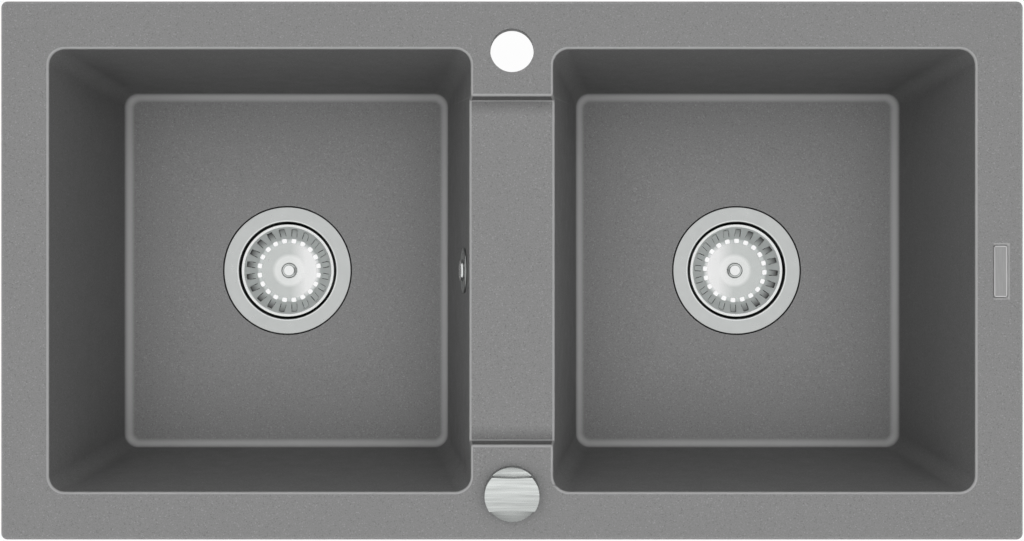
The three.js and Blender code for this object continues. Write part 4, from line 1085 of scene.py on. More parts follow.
head_foot = -CUP_DEPTH
head_top = SCREW_HEAD_HEIGHT - CUP_DEPTH
head_tints = ((0.0, (0.62, 0.63, 0.62)), (1.0, (0.58, 0.59, 0.585)))
bright_steel = turned_steel("bright_steel", head_tints, 0.22, 60.0, 0.08)
for side, place in waste_places.items():
    bore = PIN_BORE if side == "left" else 0
    profile = [
        (bore, head_top), (SCREW_HEAD - 0.004, head_top), (SCREW_HEAD - 0.0008, head_top - 0.0008),
        (SCREW_HEAD, head_top - 0.0018), (SCREW_HEAD, head_foot), (SCREW_RADIUS, head_foot),
        *threaded(SCREW_RADIUS, head_foot - 0.002, head_foot - SCREW_LENGTH, *SCREW_THREAD),
        (bore, head_foot - SCREW_LENGTH),
    ]
    screw = spun(side + "_screw", profile, place, 48)
    heights = (head_top - COIN_SLOT_DEPTH, head_top + 0.001)
    coin_slot = ray_box("coin_slot", place, (-0.012, 0.012), (-COIN_SLOT, COIN_SLOT), heights)
    cut(screw, coin_slot)
    mark_radius(screw, place, SCREW_HEAD)
    fit(screw, bright_steel, "chrome", side + "_clamp_screw")

# --- Strainer baskets -----------------------------------------------------------------------
# Each basket is pressed from thin stainless sheet, with a rolled rim, a leaning band of twenty
# punched slots and a flat polished bottom. A button is riveted through it, over a rubber stopper.

RIM_OUTER = 0.0418
RIM_INNER = 0.0396
RIM_Z = -0.002
RIM_CURL = 0.002
BASKET_FOOT = 0.028
BASKET_BOTTOM = -0.015
DISC_EDGE = 0.0246
BASKET_SHEET = 0.001
STEM_HOLE = 0.0043
SLOTS = 20
SLOT_WIDTH = 0.0053
SLOT_INNER = 0.0305
SLOT_OUTER = 0.0377
SLOT_CORNER = 0.0008
TONGUE_GAP = 0.0005
TONGUE_SHEET = 0.0006
TONGUE_DROP = 0.0016
TONGUE_SHADE = 0.1
TAB_WIDTH = 0.0045
TAB_START = 0.0249
TAB_REACH = 0.0041
TAB_TOP = 0.0016
TAB_SHEET = 0.0007
TAB_CORNER = 0.0012
BUTTON = 0.007
BUTTON_TOP = -0.0115
STEM = 0.004
STEM_END = -0.0224
DISC_TINT = (0.545, 0.565, 0.555)
DISC_PALE = (0.74, 0.755, 0.745)
BAND_TINT = (0.60, 0.63, 0.62)
BAND_METAL = 0.35
BAND_ROUGH = 0.25
DISC_LIT = 0.86
TAB_LIT = 0.97
CHROME_TINT = (0.84, 0.85, 0.845)
PALE_RADIUS = 0.0125
RIM_TINT = (0.80, 0.815, 0.805)
slot_starts = {"left": 9.0, "right": -3.5}

basket_profile = [
    (STEM_HOLE, BASKET_BOTTOM), (DISC_EDGE, BASKET_BOTTOM), (BASKET_FOOT, BASKET_BOTTOM + 0.0008),
    (BASKET_FOOT + 0.0007, BASKET_BOTTOM + 0.0014), (RIM_INNER - 0.0004, RIM_Z - 0.0003),
    *arc((RIM_OUTER - 0.0005, RIM_Z - 0.0005), 0.0005, 110, -20, 5), (RIM_OUTER, RIM_Z - RIM_CURL),
    (RIM_OUTER - 0.0006, RIM_Z - RIM_CURL), (RIM_INNER + 0.0007, RIM_Z - RIM_CURL),
    (BASKET_FOOT + 0.0012, BASKET_BOTTOM - 0.0002),
    (BASKET_FOOT - 0.0002, BASKET_BOTTOM - BASKET_SHEET), (STEM_HOLE, BASKET_BOTTOM - BASKET_SHEET),
]
button_profile = [
    (0, STEM_END), (STEM - 0.0004, STEM_END), (STEM, STEM_END + 0.0004),
    (STEM, BASKET_BOTTOM + 0.0003), (BUTTON - 0.0002, BASKET_BOTTOM + 0.0003),
    *arc((BUTTON - 0.0012, BUTTON_TOP - 0.0014), 0.0012, 0, 80, 5),
    (BUTTON - 0.0021, BUTTON_TOP - 0.0006), (BUTTON - 0.0025, BUTTON_TOP - 0.0001),
    (BUTTON - 0.0032, BUTTON_TOP), (0, BUTTON_TOP),
]


def share(radius):
    """A radius as a share of the basket's."""
    return radius / RIM_OUTER


band_start = share(DISC_EDGE + 0.0006)
band_end = share(RIM_INNER - 0.0008)
band_rise = (RIM_Z - BASKET_BOTTOM) / (RIM_INNER - BASKET_FOOT)
slot_floor = BASKET_BOTTOM + (SLOT_INNER - BASKET_FOOT) * band_rise
slot_run = SLOT_OUTER - SLOT_INNER
tongue_lean = math.atan(band_rise - TONGUE_DROP / slot_run)
tongue_length = (slot_run - TONGUE_GAP) / math.cos(tongue_lean)

basket_steel = turned_steel(
    "basket_steel",
    (
        (0.0, DISC_PALE), (share(PALE_RADIUS), DISC_PALE), (share(PALE_RADIUS + 0.003), DISC_TINT),
        (share(DISC_EDGE), DISC_TINT), (band_start, BAND_TINT),
        (band_end, BAND_TINT), (share(RIM_INNER), RIM_TINT), (1.0, RIM_TINT),
    ),
    roughness=0.24,
    rings=90.0,
    contrast=0.10,
)
tree = basket_steel.node_tree
shader = next(node for node in tree.nodes if node.type == "BSDF_PRINCIPLED")
# Painted highlight: the tabs' tops are painted near white.
tab_highlight = stored(tree, "rub")
plain = shader.inputs["Base Color"].links[0].from_socket
# Painted light: the disc is painted paler on its half towards the sink's middle.
lit = levels(tree, stored(tree, "inward"), (0.05, 0.0), (0.6, 0.8), (1.0, 0.9))
plain = blended(tree, lit, plain, DISC_LIT)
# Painted shade: the tongues on the side away from the sink's middle are painted dark.
plain = blended(tree, stored(tree, "dark"), plain, TONGUE_SHADE)
tree.links.new(blended(tree, tab_highlight, plain, TAB_LIT), shader.inputs["Base Color"])
band = levels(
    tree, stored(tree, "radius"), (share(DISC_EDGE), 0.0), (band_start, 1.0),
    (band_end, 1.0), (share(RIM_INNER), 0.0),
)
band = calculate(tree, "MULTIPLY", band, calculate(tree, "SUBTRACT", 1.0, tab_highlight))
less_metal = calculate(tree, "MULTIPLY", band, 1 - BAND_METAL)
tree.links.new(calculate(tree, "SUBTRACT", 1.0, less_metal), shader.inputs["Metallic"])
gloss = shader.inputs["Roughness"].links[0].from_socket
rougher = calculate(tree, "ADD", gloss, calculate(tree, "MULTIPLY", band, BAND_ROUGH))
tree.links.new(rougher, shader.inputs["Roughness"])
button_steel = turned_steel(
    "button_steel",
    (
        (0.0, CHROME_TINT), (0.62, CHROME_TINT), (0.70, (0.50, 0.52, 0.51)),
        (0.86, (0.62, 0.64, 0.63)), (1.0, (0.42, 0.44, 0.43)),
    ),
    roughness=0.2,
    rings=40.0,
    contrast=0.06,
)
for side, place in waste_places.items():
    basket = spun(side + "_strainer", basket_profile, place, 6 * SLOTS)
    angles = [slot_starts[side] + 360 / SLOTS * i for i in range(SLOTS)]
    for angle in angles:
        across = (-SLOT_WIDTH / 2, SLOT_WIDTH / 2)
        heights = (BASKET_BOTTOM - 0.004, 0.004)
        cutter = ray_box("slot", place, (SLOT_INNER, SLOT_OUTER), across, heights)
        bevel(cutter, taller(UPRIGHT), SLOT_CORNER, 3)
        cut(basket, turned_about(cutter, place, angle))
    soften(basket, 0.00012, 1)
    tabs = []
    for angle in angles:
        across = (-TAB_WIDTH / 2, TAB_WIDTH / 2)
        heights = (BASKET_BOTTOM - 0.0004, BASKET_BOTTOM + TAB_TOP)
        tab = ray_box("tab", place, (TAB_START, TAB_START + TAB_REACH), across, heights)
        bevel(tab, taller(TAB_SHEET / 2), TAB_CORNER, 4)
        soften(tab, 0.0002, 2)
        tabs.append(turned_about(tab, place, angle))
    mark(basket, "rub", lambda co: 0.0)
    mark(basket, "dark", lambda co: 0.0)
    # The tabs carry the painted highlight mark.
    for tab in tabs:
        mark(tab, "rub", lambda co: 1.0)
        join(basket, tab)
    towards = -1 if place[0] > 0 else 1
    for angle in angles:
        tongue = box_piece(
            "tongue", (-TONGUE_GAP, TONGUE_GAP - SLOT_WIDTH / 2, -TONGUE_SHEET),
            (tongue_length, SLOT_WIDTH / 2 - TONGUE_GAP, 0),
        )
        # Painted shade on the tongues that face away from the sink's middle, from the hinge outwards.
        away = -towards * math.cos(math.radians(angle))
        shadow = min(max((away + 0.35) / 0.8, 0.0), 1.0)
        mark(tongue, "dark", lambda co: shadow * (co.x > 0))
        hinge = (place[0] + SLOT_INNER, 0, FLOOR_LEVEL + slot_floor - TONGUE_GAP)
        moved(tongue, (0, -tongue_lean, 0), hinge)
        join(basket, turned_about(tongue, place, angle))
    mark_radius(basket, place, RIM_OUTER)

    def facing_middle(co):
        """How far towards the sink's middle a point of the disc lies."""
        on_disc = math.hypot(co.x - place[0], co.y) < DISC_EDGE + 0.001
        return max(towards * (co.x - place[0]) / DISC_EDGE, 0.0) if on_disc else 0.0

    # The mark that carries the disc's painted light.
    mark(basket, "inward", facing_middle)
    fit(basket, basket_steel, "basket_steel", side + "_basket", body=side + "_strainer")
    button = spun(side + "_button", button_profile, place, 64)
    mark_radius(button, place, BUTTON)
    fit(button, button_steel, "chrome", side + "_basket_knob", body=side + "_strainer")

# --- Basket lift ----------------------------------------------------------------------------
# A steel pin in the left clamp screw pushes the basket up. A plastic crank on a steel pivot lifts
# the pin when the cable pulls. The cable's sheath ends in a screwed steel ferrule at each end.

FERRULE_HEAD = 0.007
FERRULE_HEAD_LENGTH = 0.008
FERRULE_SHANK = 0.0045
FERRULE_GRIP = 0.0028
FERRULE_GRIP_DEPTH = 0.005
FERRULE_WIRE = 0.0012
FERRULE_GAP = 0.0003
FERRULE_THREAD = (0.001, 0.0004)
WASTE_INSERT = 0.012

pin_steel = cloudy_finish("pin_steel", 0.5, 0.6, 0.3, 1200.0, 0.00005, Metallic=1.0)
grey_plastic = cloudy_finish("grey_acetal", 0.26, 0.33, 0.45, 900.0, 0.00008, IOR=1.48)
dress(pin_steel, "lift_pin", "rocker_pin", "knob_spindle")
dress(grey_plastic, "lift_rocker", "cable_drum")
dress(rubber, "overflow_gasket", "knob_washer")


def ferrule(name, insert):
    """A screwed ferrule about Z: a hexagon head over a threaded shank, bored for cable and wire."""
    shank = spun(
        name,
        [
            (FERRULE_WIRE, FERRULE_GAP + 0.001), (FERRULE_SHANK, FERRULE_GAP + 0.001),
            *threaded(FERRULE_SHANK, FERRULE_GAP, -insert, *FERRULE_THREAD), (FERRULE_WIRE, -insert),
        ],
        steps=40,
    )
    head_end = FERRULE_GAP + FERRULE_HEAD_LENGTH
    head = round_piece("head", FERRULE_HEAD, FERRULE_GAP, head_end, sides=6)
    soften(head, 0.0006, 3)
    grip = round_piece("grip", FERRULE_GRIP, head_end - FERRULE_GRIP_DEPTH, head_end + 0.001, sides=32)
    wire = round_piece("wire", FERRULE_WIRE, -0.001, head_end, sides=24)
    cut(head, grip, wire)
    join(shank, head)
    return shank


zinc = cloudy_finish("zinc_plated_steel", 0.42, 0.58, 0.36, 700.0, 0.0001, Metallic=1.0)
lift_turn = math.radians(LIFT_ANGLE)
waste_end = moved(ferrule("waste_cable_end", WASTE_INSERT), (0, math.pi / 2, 0))
port_x = -BOWL_CENTRE + PORT_END * math.cos(lift_turn)
port_mouth = (port_x, PORT_END * math.sin(lift_turn), FLOOR_LEVEL - PORT_DEPTH)
moved(waste_end, (0, 0, lift_turn), port_mouth)
fit(waste_end, zinc, "chrome", "waste_ferrule")

# --- Knob -----------------------------------------------------------------------------------
# A brushed steel knob with a broad grip bar turns in a thin bezel on the rim. Its spindle runs
# in a threaded plastic housing through the deck, closed below and held by a nut and a washer.

KNOB_RADIUS = 0.0219
KNOB_UNDERSIDE = 0.0037
KNOB_BASE = 0.009
KNOB_TOP = 0.021
GRIP_FRONT = 0.013
GRIP_BACK = 0.0158
GRIP_WAIST = 0.0013
GRIP_SHADE = 0.06
GRIP_DRAFT = 2.2
GRIP_CORNER = 0.0006
BASE_CORNER = 0.0008
BEZEL_RADIUS = 0.02215
BEZEL_TOP = 0.0034
BEZEL_SHEET = 0.0011
BEZEL_INNER = 0.0198
SPINDLE_HOLE = 0.0033
SPINDLE_SOCKET = 0.0105
HOUSING_FLANGE = 0.0195
HOUSING_FLANGE_TOP = 0.002
HOUSING_RADIUS = 0.0165
HOUSING_WALL = 0.004
HOUSING_BEARING = 0.008
HOUSING_DEPTH = 0.045
THREAD_START = 0.0125
HOUSING_THREAD = (0.002, 0.0007)
DRUM_RADIUS = 0.0051
DRUM_DEPTH = 0.034
CAP_GAP = 0.0003
NUT_RADIUS = 0.02425
NUT_BORE = 0.0168
NUT_TOP = -0.0185
NUT_HEIGHT = 0.008
NUT_CORNER = 0.0012
KNOB_INSERT = 0.0043
KNOB_TINT = (0.68, 0.705, 0.692)
BEZEL_SHADOW_TINT = (0.2, 0.205, 0.203)

knob_place = (0, KNOB_Y, rim_top)
base = spun(
    "pop_up_knob",
    [
        (0, KNOB_UNDERSIDE), (KNOB_RADIUS - 0.0004, KNOB_UNDERSIDE),
        (KNOB_RADIUS, KNOB_UNDERSIDE + 0.0004),
        *arc((KNOB_RADIUS - BASE_CORNER, KNOB_BASE - BASE_CORNER), BASE_CORNER, 0, 90, 5),
        (0, KNOB_BASE),
    ],
    knob_place, 128,
)
grip = spun(
    "grip",
    [
        (0, KNOB_UNDERSIDE + 0.001), (KNOB_RADIUS - 0.0002, KNOB_UNDERSIDE + 0.001),
        (KNOB_RADIUS - 0.0002, KNOB_TOP), (0, KNOB_TOP),
    ],
    knob_place, 128,
)
hollow = (KNOB_RADIUS**2 + GRIP_WAIST**2) / (2 * GRIP_WAIST)
for way, reach in ((-1, GRIP_FRONT), (1, GRIP_BACK)):
    z = rim_top + (KNOB_BASE + KNOB_TOP) / 2
    middle = (0, KNOB_Y + way * (reach - GRIP_WAIST + hollow), z)
    side = rod(hollow, 0.08, middle, (way * math.radians(GRIP_DRAFT), 0, 0), 720)
    cut(grip, side)
join(base, grip)
socket = round_piece(
    "socket", SPINDLE_HOLE, rim_top, rim_top + SPINDLE_SOCKET, (0, KNOB_Y), 32
)
cut(base, socket)
soften(base, GRIP_CORNER, 4)


def knob_step(co):
    """1 on the low parts in front of and behind the grip."""
    beyond = (abs(co.y - KNOB_Y) - (GRIP_FRONT - GRIP_WAIST)) / 0.001
    return min(max(beyond, 0), 1) if co.z < rim_top + KNOB_BASE + 0.0005 else 0.0


def grip_side(face):
    """1 on the grip's upright front and back."""
    above = face.center.z - rim_top
    upright_part = KNOB_BASE + 0.00005 < above < KNOB_TOP
    return float(upright_part and abs(face.normal.y) > 0.4)


# Marks for the knob's painted light and shade.
mark(base, "step", knob_step)
sides = base.data.attributes.new("side", "FLOAT", "FACE")
for face in base.data.polygons:
    sides.data[face.index].value = grip_side(face)
mark(base, "back", lambda co: 0.5 + (co.y - KNOB_Y) / KNOB_RADIUS / 2)
brushed, tree, sockets = principled("brushed_knob", Metallic=1.0)
lengthwise = (0.012, 1.0, 0.4)
hair = pattern(tree, "ShaderNodeTexNoise", 2200.0, lengthwise, Detail=4.0, Roughness=0.6)
broad = pattern(tree, "ShaderNodeTexNoise", 420.0, (0.06, 1.0, 1.0), Detail=3.0)
fine = levels(tree, hair.outputs["Fac"], (0.25, 0.72), (0.75, 1.1))
wide = levels(tree, broad.outputs["Fac"], (0.3, 0.84), (0.7, 1.07))
tinted = times(tree, KNOB_TINT, times(tree, fine, wide))
# Painted light and shade: the low part in front of the grip is painted dark, the one behind it pale near
# the grip and darker towards the edge; the grip's upright faces are painted near black, and its top is
# painted lighter towards the back.
far = stored(tree, "back")
step_painted_shade = levels(tree, far, (0.2, 0.5), (0.78, 0.5), (0.82, 1.3), (0.9, 1.1), (1.0, 0.58))
field = levels(tree, far, (0.2, 0.82), (0.45, 0.96), (0.6, 1.06), (0.85, 1.08))
knob_painted_shade = blended(tree, stored(tree, "step"), field, step_painted_shade)
knob_painted_shade = blended(tree, stored(tree, "side"), knob_painted_shade, GRIP_SHADE)
tree.links.new(times(tree, tinted, knob_painted_shade), sockets["Base Color"])
tree.links.new(smudged(tree, 220.0, 0.2, 0.27), sockets["Roughness"])
tree.links.new(raised(tree, hair.outputs["Fac"], 0.3, 0.00005), sockets["Normal"])
fit(base, brushed, "knob_steel", "knob_cap", body="knob")

bezel = spun(
    "knob_ring",
    [
        (SPINDLE_HOLE, BEZEL_TOP - BEZEL_SHEET), (BEZEL_INNER, BEZEL_TOP - BEZEL_SHEET),
        (BEZEL_INNER, 0), (BEZEL_RADIUS, 0),
        *arc((BEZEL_RADIUS - 0.0007, BEZEL_TOP - 0.0007), 0.0007, 0, 90, 5),
        (SPINDLE_HOLE, BEZEL_TOP),
    ],
    knob_place, 128,
)
mark_radius(bezel, knob_place, BEZEL_RADIUS)
# Painted shadow: the bezel is tinted dark, for the shadow round the knob's foot.
even_shadow = ((0.0, BEZEL_SHADOW_TINT), (1.0, BEZEL_SHADOW_TINT))
ring_steel = turned_steel("ring_steel", even_shadow, 0.35, 60.0, 0.1)
fit(bezel, ring_steel, "knob_steel", "knob_bezel")

housing_bore = HOUSING_RADIUS - HOUSING_WALL
housing = spun(
    "spindle_housing",
    [
        (SPINDLE_HOLE, HOUSING_FLANGE_TOP), (HOUSING_FLANGE - 0.0005, HOUSING_FLANGE_TOP),
        (HOUSING_FLANGE, HOUSING_FLANGE_TOP - 0.0005), (HOUSING_FLANGE, 0), (HOUSING_RADIUS, 0),
        (HOUSING_RADIUS, -THREAD_START + 0.001),
        *threaded(HOUSING_RADIUS, -THREAD_START, -HOUSING_DEPTH + 0.001, *HOUSING_THREAD),
        (HOUSING_RADIUS - HOUSING_THREAD[1], -HOUSING_DEPTH), (housing_bore, -HOUSING_DEPTH),
        (housing_bore, -HOUSING_BEARING), (SPINDLE_HOLE, -HOUSING_BEARING),
    ],
    knob_place,
)
cable_way = (-DRUM_RADIUS, KNOB_Y + HOUSING_RADIUS - 0.0022, rim_top - DRUM_DEPTH)
cut(housing, rod(PORT_BORE, 0.012, cable_way, (math.pi / 2, 0, 0), 32))
fit(housing, black_plastic, "waste_plastic", "knob_housing")

cover_top = -HOUSING_DEPTH - CAP_GAP
cover_foot = cover_top - HOUSING_WALL
plug = housing_bore - CAP_GAP
cover = spun(
    "housing_cover",
    [
        (0, cover_foot), (HOUSING_RADIUS - 0.006, cover_foot),
        (HOUSING_RADIUS - 0.0055, cover_foot + 0.0006),
        (HOUSING_RADIUS - 0.0018, cover_foot + 0.0006), (HOUSING_RADIUS - 0.0008, cover_foot),
        (HOUSING_RADIUS, cover_foot + 0.0008), (HOUSING_RADIUS, cover_top),
        (plug, cover_top), (plug, cover_top + HOUSING_WALL), (0, cover_top + HOUSING_WALL),
    ],
    knob_place,
)
fit(cover, black_plastic, "waste_plastic", "housing_cap")

nut_top = rim_top + NUT_TOP
nut_foot = nut_top - NUT_HEIGHT
nut = round_piece("lock_nut", NUT_RADIUS, nut_foot, nut_top, (0, KNOB_Y), 6)
bevel(nut, taller(NUT_HEIGHT / 2), NUT_CORNER, 4)
lead = spun(
    "lead",
    [
        (0, nut_foot - 0.001), (NUT_BORE + 0.0008, nut_foot - 0.001),
        (NUT_BORE, nut_foot + 0.0008), (NUT_BORE, nut_top + 0.001), (0, nut_top + 0.001),
    ],
    (0, KNOB_Y, 0),
)
cut(nut, lead)
soften(nut, 0.0005)
fit(nut, grey_plastic, "grey_plastic", "knob_locknut")

knob_mouth = (-DRUM_RADIUS, KNOB_Y + HOUSING_RADIUS, rim_top - DRUM_DEPTH)
knob_end = moved(ferrule("knob_cable_end", KNOB_INSERT), (-math.pi / 2, 0, 0), knob_mouth)
fit(knob_end, zinc, "chrome", "knob_ferrule")

# --- Overflow -------------------------------------------------------------------------------
# A chromed rosette with four slots covers the hole in the left bowl's inner wall. Its domed
# screw holds a black plastic elbow with a rubber ring against the wall's other side.

ROSETTE = 0.01885
ROSETTE_HEIGHT = 0.0014
ROSETTE_SLOT = 0.005
ROSETTE_SLOTS = 4
ROSETTE_CORNER = 0.002
SEAT_GAP = 0.0003
DOME = 0.0088
DOME_HEIGHT = 0.0025
SHANK = 0.0025
ELBOW_FLANGE = 0.019
ELBOW_FLANGE_SHEET = 0.003
ELBOW_RADIUS = 0.015
ELBOW_DEPTH = 0.016
ELBOW_WALL = 0.003
GASKET_SHEET = 0.002
SPIGOT_END = 0.033
BOSS_RADIUS = 0.0058
SHANK_BORE = 0.0028
ROSETTE_REFLECTION_TINT = (0.42, 0.43, 0.425)
ROSETTE_EDGE_SHADE = (0.34, 0.35, 0.345)

gasket_face = -(WALL * math.cos(SIDE_LEAN) + SEAT_GAP)
elbow_face = gasket_face - GASKET_SHEET - SEAT_GAP
elbow_shoulder = elbow_face - ELBOW_FLANGE_SHEET
elbow_back = elbow_shoulder - ELBOW_DEPTH
elbow_floor = elbow_back + ELBOW_WALL
spigot_height = (elbow_shoulder + elbow_back) / 2


def on_wall(piece):
    """Turns a piece built upright at the origin so that it stands square on the overflow's wall."""
    return moved(piece, (0, overflow_turn, 0), overflow_place)


even_chrome = ((0.0, CHROME_TINT), (1.0, CHROME_TINT))
chrome = turned_steel("polished_chrome", even_chrome, 0.25, 30.0, 0.03)
# Painted reflection and shade: the chrome is tinted dim, as it mirrors the grey wall, and darker at its
# edge for the shadow round it.
edged = ((0.0, ROSETTE_REFLECTION_TINT), (0.84, ROSETTE_REFLECTION_TINT), (0.93, ROSETTE_EDGE_SHADE), (1.0, ROSETTE_EDGE_SHADE))
satin_chrome = turned_steel("satin_chrome", edged, 0.4, 60.0, 0.08)
rosette_top = SEAT_GAP + ROSETTE_HEIGHT
rosette = spun(
    "overflow_cover",
    [
        (SHANK_BORE, SEAT_GAP), (ROSETTE - 0.0002, SEAT_GAP), (ROSETTE, SEAT_GAP + 0.0004),
        *arc((ROSETTE - 0.001, rosette_top - 0.001), 0.001, 0, 90, 7), (DOME + 0.0008, rosette_top),
        (DOME + 0.0003, rosette_top - 0.0004), (SHANK_BORE, rosette_top - 0.0004),
    ],
)
for i in range(ROSETTE_SLOTS):
    gap = box_piece(
        "gap", (DOME + 0.001, -ROSETTE_SLOT / 2, -0.001),
        (ROSETTE - 0.004, ROSETTE_SLOT / 2, 0.006),
    )
    bevel(gap, taller(UPRIGHT), ROSETTE_CORNER, 5)
    cut(rosette, turned_about(gap, (0, 0, 0), 360 / ROSETTE_SLOTS * i))
soften(rosette, 0.0002)
mark_radius(rosette, (0, 0), ROSETTE)
on_wall(rosette)
fit(rosette, satin_chrome, "chrome", "overflow_rosette")

dome_seat = rosette_top + SEAT_GAP
dome = spun(
    "overflow_dome",
    [
        (0, elbow_floor + SEAT_GAP), (SHANK, elbow_floor + SEAT_GAP), (SHANK, dome_seat),
        (DOME - 0.0002, dome_seat), (DOME, dome_seat + 0.0003),
        (DOME, dome_seat + DOME_HEIGHT * 0.4), (DOME * 0.975, dome_seat + DOME_HEIGHT * 0.62),
        (DOME * 0.9, dome_seat + DOME_HEIGHT * 0.8), (DOME * 0.75, dome_seat + DOME_HEIGHT * 0.91),
        (DOME * 0.5, dome_seat + DOME_HEIGHT * 0.97), (0, dome_seat + DOME_HEIGHT),
    ],
    steps=64,
)
mark_radius(dome, (0, 0), DOME)
on_wall(dome)
fit(dome, chrome, "chrome", "overflow_screw")

elbow = spun(
    "overflow_back",
    [
        (0, elbow_back), (ELBOW_RADIUS - 0.001, elbow_back), (ELBOW_RADIUS, elbow_back + 0.001),
        (ELBOW_RADIUS, elbow_shoulder), (ELBOW_FLANGE, elbow_shoulder), (ELBOW_FLANGE, elbow_face),
        (ELBOW_RADIUS - ELBOW_WALL, elbow_face), (ELBOW_RADIUS - ELBOW_WALL, elbow_floor),
        (BOSS_RADIUS, elbow_floor), (BOSS_RADIUS, elbow_face), (SHANK_BORE, elbow_face),
        (SHANK_BORE, elbow_floor), (0, elbow_floor),
    ],
)
spigot, spigot_bore = level_tube(
    "spigot", INLET_RADIUS, INLET_BORE, ELBOW_RADIUS - ELBOW_WALL / 2, SPIGOT_END,
    (0, 0, 0), -spigot_height, 180, (0.021, 0.025, 0.029),
)
join(elbow, spigot)
cut(elbow, spigot_bore)
soften(elbow, 0.0004)
on_wall(elbow)
fit(elbow, black_plastic, "waste_plastic", "overflow_elbow")

# --- Overflow hose --------------------------------------------------------------------------
# A ribbed grey hose runs down behind the bowl's wall from the elbow, round under the bowl and
# level into the left body. A moulded clip holds each end on its barbed spigot.

HOSE_GAP = 0.0045
HOSE_BEND = 0.050
HOSE_BORE = 0.0063
HOSE_CREST = 0.010
HOSE_VALLEY = 0.0085
RIB_PITCH = 0.006
RIB_FORM = ((0.0, 1.0), (0.18, 0.94), (0.34, 0.35), (0.5, 0.0), (0.66, 0.35), (0.82, 0.94))
BEND_STEPS = 400
CLIP_INNER = 0.0103
CLIP_OUTER = 0.0125
CLIP_START = 0.0065
BAND_WIDTH = 0.009
BAND_LIP = 0.0015
BAND_STEP = 0.0022
BAND_WAIST = 0.0005

down = Vector((-1, 0, 0))
down.rotate(Euler((0, overflow_turn, 0)))
hose_start = Vector((-(ELBOW_RADIUS + HOSE_GAP), 0, spigot_height))
hose_start.rotate(Euler((0, overflow_turn, 0)))
hose_start += overflow_place
inlet_z = FLOOR_LEVEL - INLET_DEPTH
hose_end = Vector((-BOWL_CENTRE + BODY_OUTER + HOSE_GAP, 0, inlet_z))
hose_corner = hose_start + down * ((inlet_z - hose_start.z) / down.z)
bend_start = hose_corner - down * HOSE_BEND
bend_end = hose_corner - Vector((HOSE_BEND, 0, 0))


def on_bend(t):
    """A point of the quadratic bend between the hose's two straight runs."""
    return bend_start * (1 - t) ** 2 + hose_corner * 2 * t * (1 - t) + bend_end * t**2


bend = [on_bend(i / BEND_STEPS) for i in range(BEND_STEPS + 1)]
hose_points = [hose_start, *bend, hose_end]
hose_length = sum((b - a).length for a, b in zip(hose_points, hose_points[1:]))
ribs = int(hose_length // RIB_PITCH)
pitch = hose_length / ribs
hose_profile = [(HOSE_BORE, 0)]
for i in range(ribs):
    for along_rib, height in RIB_FORM:
        radius = HOSE_VALLEY + (HOSE_CREST - HOSE_VALLEY) * height
        hose_profile.append((radius, (i + along_rib) * pitch))
hose_profile.append((HOSE_CREST, hose_length))
for i in range(ribs, 0, -2):
    hose_profile.append((HOSE_BORE, i * pitch))
hose = moved(spun("ribbed_hose", hose_profile, steps=40), (0, math.pi / 2, 0))


def poly_curve(name, points):
    """A curve object with straight stretches between the points."""
    curve = bpy.data.curves.new(name, "CURVE")
    curve.dimensions = "3D"
    spline = curve.splines.new("POLY")
    spline.points.add(len(points) - 1)
    for point, co in zip(spline.points, points):
        point.co = (*co, 1)
    obj = bpy.data.objects.new(name, curve)
    scene.collection.objects.link(obj)
    return obj


hose_route = poly_curve("hose_route", hose_points)
modify(hose, "CURVE", object=hose_route)
bpy.data.objects.remove(hose_route)
hose_plastic = cloudy_finish("grey_hose", 0.34, 0.44, 0.5, 1000.0, 0.0001, IOR=1.48)
fit(hose, hose_plastic, "hose_plastic", "overflow_hose", smooth_to=60)


def hose_clip(name):
    """A moulded band about Z with a closing lug, at its distance from the spigot's housing."""
    clip_end = CLIP_START + BAND_WIDTH
    band = spun(
        name,
        [
            (CLIP_INNER, CLIP_START), (CLIP_OUTER, CLIP_START), (CLIP_OUTER, CLIP_START + BAND_LIP),
            (CLIP_OUTER - BAND_WAIST, CLIP_START + BAND_STEP),
            (CLIP_OUTER - BAND_WAIST, clip_end - BAND_STEP), (CLIP_OUTER, clip_end - BAND_LIP),
            (CLIP_OUTER, clip_end), (CLIP_INNER, clip_end),
        ],
        steps=64,
    )
    low = (-0.003, CLIP_INNER + 0.001, CLIP_START + 0.001)
    high = (0.003, CLIP_OUTER + 0.0025, clip_end - 0.001)
    lug = box_piece("lug", low, high)
    join(band, lug)
    soften(band, 0.0003)
    return band


on_spigot = (-ELBOW_RADIUS, 0, spigot_height)
elbow_clip = on_wall(moved(hose_clip("elbow_band"), (0, -math.pi / 2, 0), on_spigot))
fit(elbow_clip, black_plastic, "waste_plastic", "elbow_collar")
on_inlet = (-BOWL_CENTRE + BODY_OUTER, 0, inlet_z)
inlet_clip = moved(hose_clip("inlet_band"), (0, math.pi / 2, 0), on_inlet)
fit(inlet_clip, black_plastic, "waste_plastic", "inlet_collar")

# --- Lift cable -----------------------------------------------------------------------------
# A black sheathed cable runs from the left body's port under the bowl, up between the bowls and
# forward to the knob's housing. It is held in a ferrule at both ends, with slack bends between.

CABLE_RADIUS = 0.0025
CABLE_SEAT = 0.0036
CABLE_LEAD = 0.015
CABLE_ROUTE = (
    (-0.143, -0.100, -0.218), (-0.118, -0.117, -0.221), (-0.085, -0.124, -0.219),
    (-0.055, -0.122, -0.208), (-0.033, -0.116, -0.186), (-0.020, -0.110, -0.150),
    (-0.011, -0.106, -0.105), (-0.007, -0.107, -0.065), (-0.0055, -0.118, -0.038),
)
CABLE_STEPS = 14

